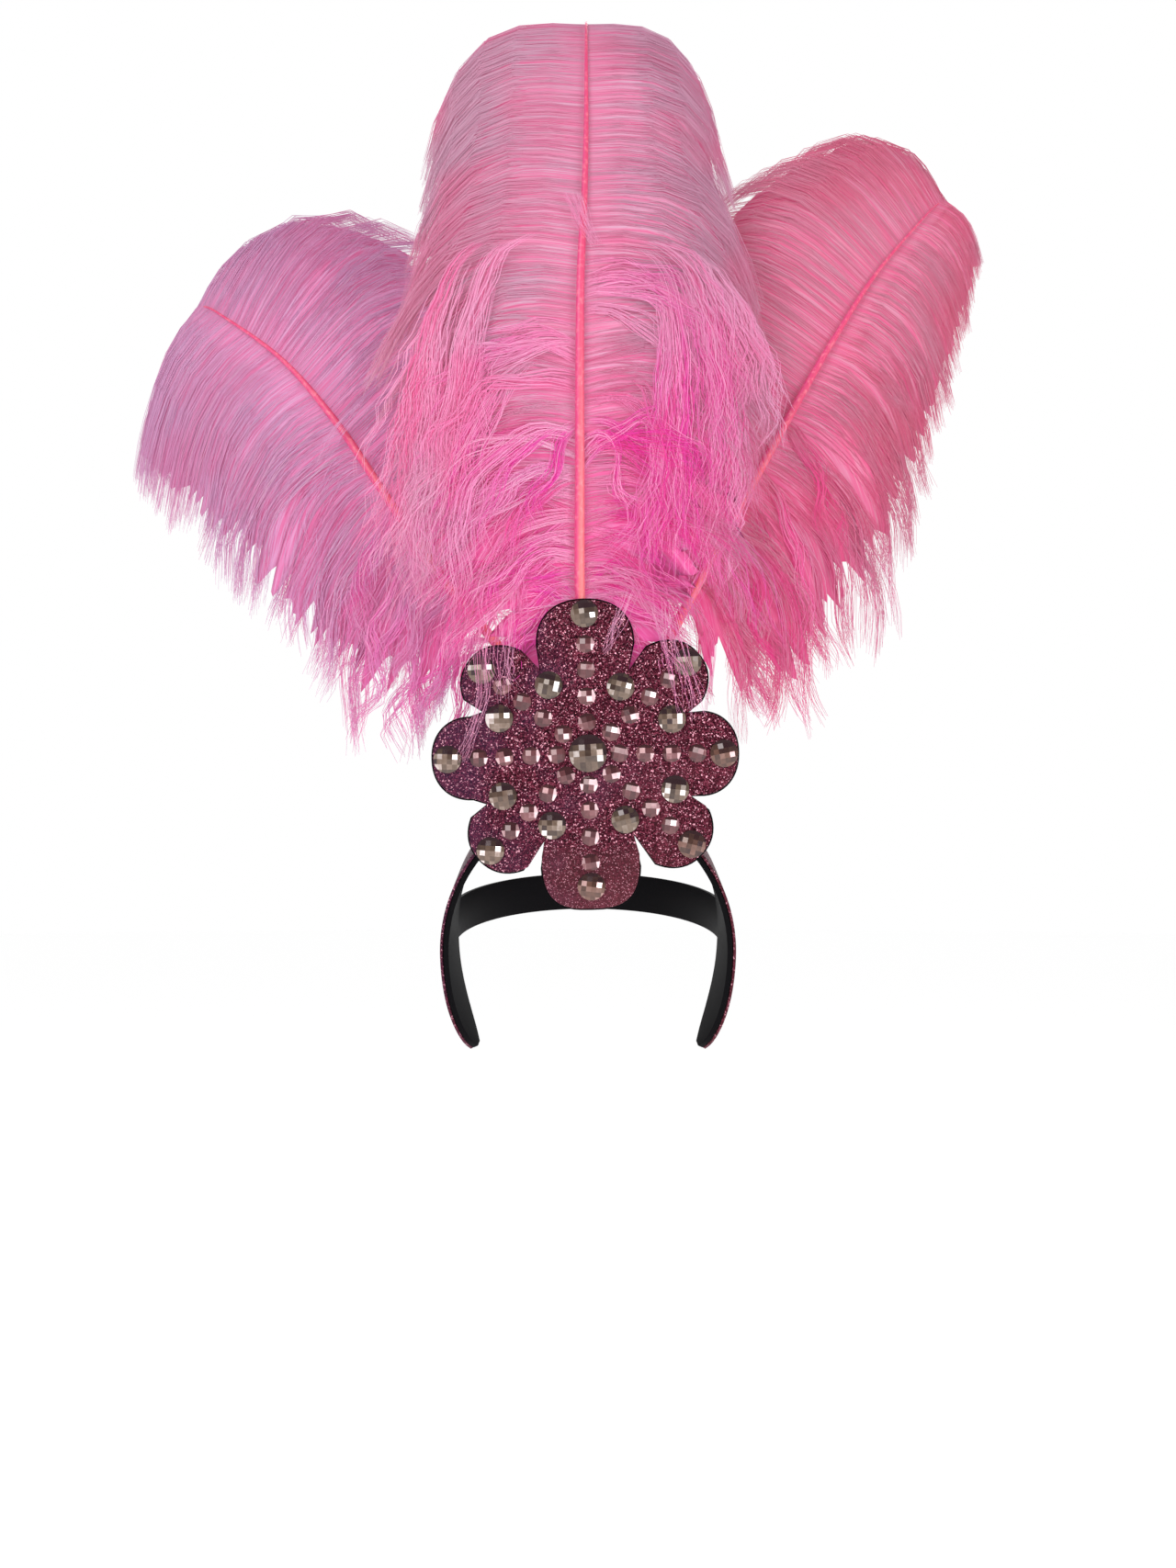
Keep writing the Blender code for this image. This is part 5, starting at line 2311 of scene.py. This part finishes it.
@dataclass
class Studio:
    """The camera at the photograph's angle, soft lights, a pale room and a pale floor. In metres."""

    camera_place: Place = (0.0, -1.318, 0.0074)
    lens: float = 54.83
    sensor: float = 36.0
    floor_z: float = -0.62
    floor_radius: float = 9.0
    room_seen: float = 1.0
    room_light: float = 0.62
    room_front: float = 0.30
    room_fade: Spot = (-0.6, 0.5)
    lamps: tuple[Lamp, ...] = (
        Lamp("key", (-0.9, -1.7, 1.25), (0.0, 0.0, 0.15), 1.1, 25.0, (1.0, 0.99, 0.97)),
        Lamp("fill", (1.3, -1.5, 0.3), (0.0, 0.0, 0.10), 0.9, 14.0, (0.97, 0.98, 1.0)),
        Lamp("rim", (0.2, 1.5, 1.3), (0.0, 0.0, 0.30), 1.2, 16.0, (1.0, 1.0, 1.0)),
    )

    def add_camera(self) -> None:
        """Adds the level camera and makes it the scene's."""
        data = bpy.data.cameras.new("camera")
        data.lens = self.lens
        data.sensor_width = self.sensor
        data.clip_end = 60.0
        camera = bpy.data.objects.new("camera", data)
        camera.location = self.camera_place
        camera.rotation_euler = (math.pi / 2, 0.0, 0.0)
        bpy.context.scene.collection.objects.link(camera)
        bpy.context.scene.camera = camera

    def add_lamps(self) -> None:
        """Adds the soft lights."""
        for lamp in self.lamps:
            data = bpy.data.lights.new(lamp.name, "AREA")
            data.size = lamp.size
            data.energy = lamp.power
            data.color = lamp.colour
            light = bpy.data.objects.new(lamp.name, data)
            light.location = lamp.place
            aim = Vector(lamp.target) - Vector(lamp.place)
            light.rotation_euler = aim.to_track_quat("-Z", "Y").to_euler()
            bpy.context.scene.collection.objects.link(light)

    def add_room(self) -> None:
        """Sets the world: white where the camera sees it, and dimmer in front as a light."""
        world = bpy.data.worlds.new("room")
        world.use_nodes = True
        bpy.context.scene.world = world
        nodes = Nodes(world.node_tree)
        direction = nodes.add("ShaderNodeTexCoord", output="Generated")
        parts = nodes.add("ShaderNodeSeparateXYZ", {}, {"Vector": direction}, "Y")
        lit = self.room_front + parts.between(*self.room_fade) * (self.room_light - self.room_front)
        seen = nodes.add("ShaderNodeLightPath", output="Is Camera Ray")
        strength = lit + seen * (self.room_seen - lit)
        background = world.node_tree.nodes["Background"]
        background.inputs["Color"].default_value = (1.0, 1.0, 1.0, 1.0)
        nodes.link(strength, background.inputs["Strength"])
        bpy.context.scene.view_settings.view_transform = "Standard"

    def add_floor(self) -> None:
        """Adds the floor, well below the headdress."""
        shape = bmesh.new()
        bmesh.ops.create_circle(shape, cap_ends=True, segments=96, radius=self.floor_radius)
        bmesh.ops.translate(shape, verts=shape.verts, vec=(0.0, 0.0, self.floor_z))
        mesh = bpy.data.meshes.new("floor")
        shape.to_mesh(mesh)
        shape.free()
        mesh.materials.append(FLOOR_PAINT.make())
        floor = bpy.data.objects.new("floor", mesh)
        bpy.context.scene.collection.objects.link(floor)
        floor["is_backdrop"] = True

    def build(self) -> None:
        """Builds the whole studio."""
        self.add_camera()
        self.add_lamps()
        self.add_room()
        self.add_floor()


def report(label: str, build: Callable[[], None]) -> None:
    """Builds something and logs how many pieces it added.

    Args:
        label: what is built.
        build: the method that builds it.
    """
    before = {obj.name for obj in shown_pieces()}
    build()
    added = [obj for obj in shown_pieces() if obj.name not in before]
    triangles = sum(len(polygon.vertices) - 2 for obj in added for polygon in obj.data.polygons)
    log.info("%s: %d pieces, %d triangles", label, len(added), triangles)


def main() -> None:
    """Builds the studio and every piece of the headdress."""
    logging.basicConfig(level=logging.INFO, format="%(name)s %(message)s")
    grower = BarbGrower()
    report("studio", Studio().build)
    report("head arch", HeadArch().build)
    report("flower", Flower().build)
    for plume in (CENTRE_PLUME, LEFT_PLUME, RIGHT_PLUME):
        report(f"{plume.name} plume", lambda plume=plume: plume.build(grower))


if __name__ == "__main__":
    main()
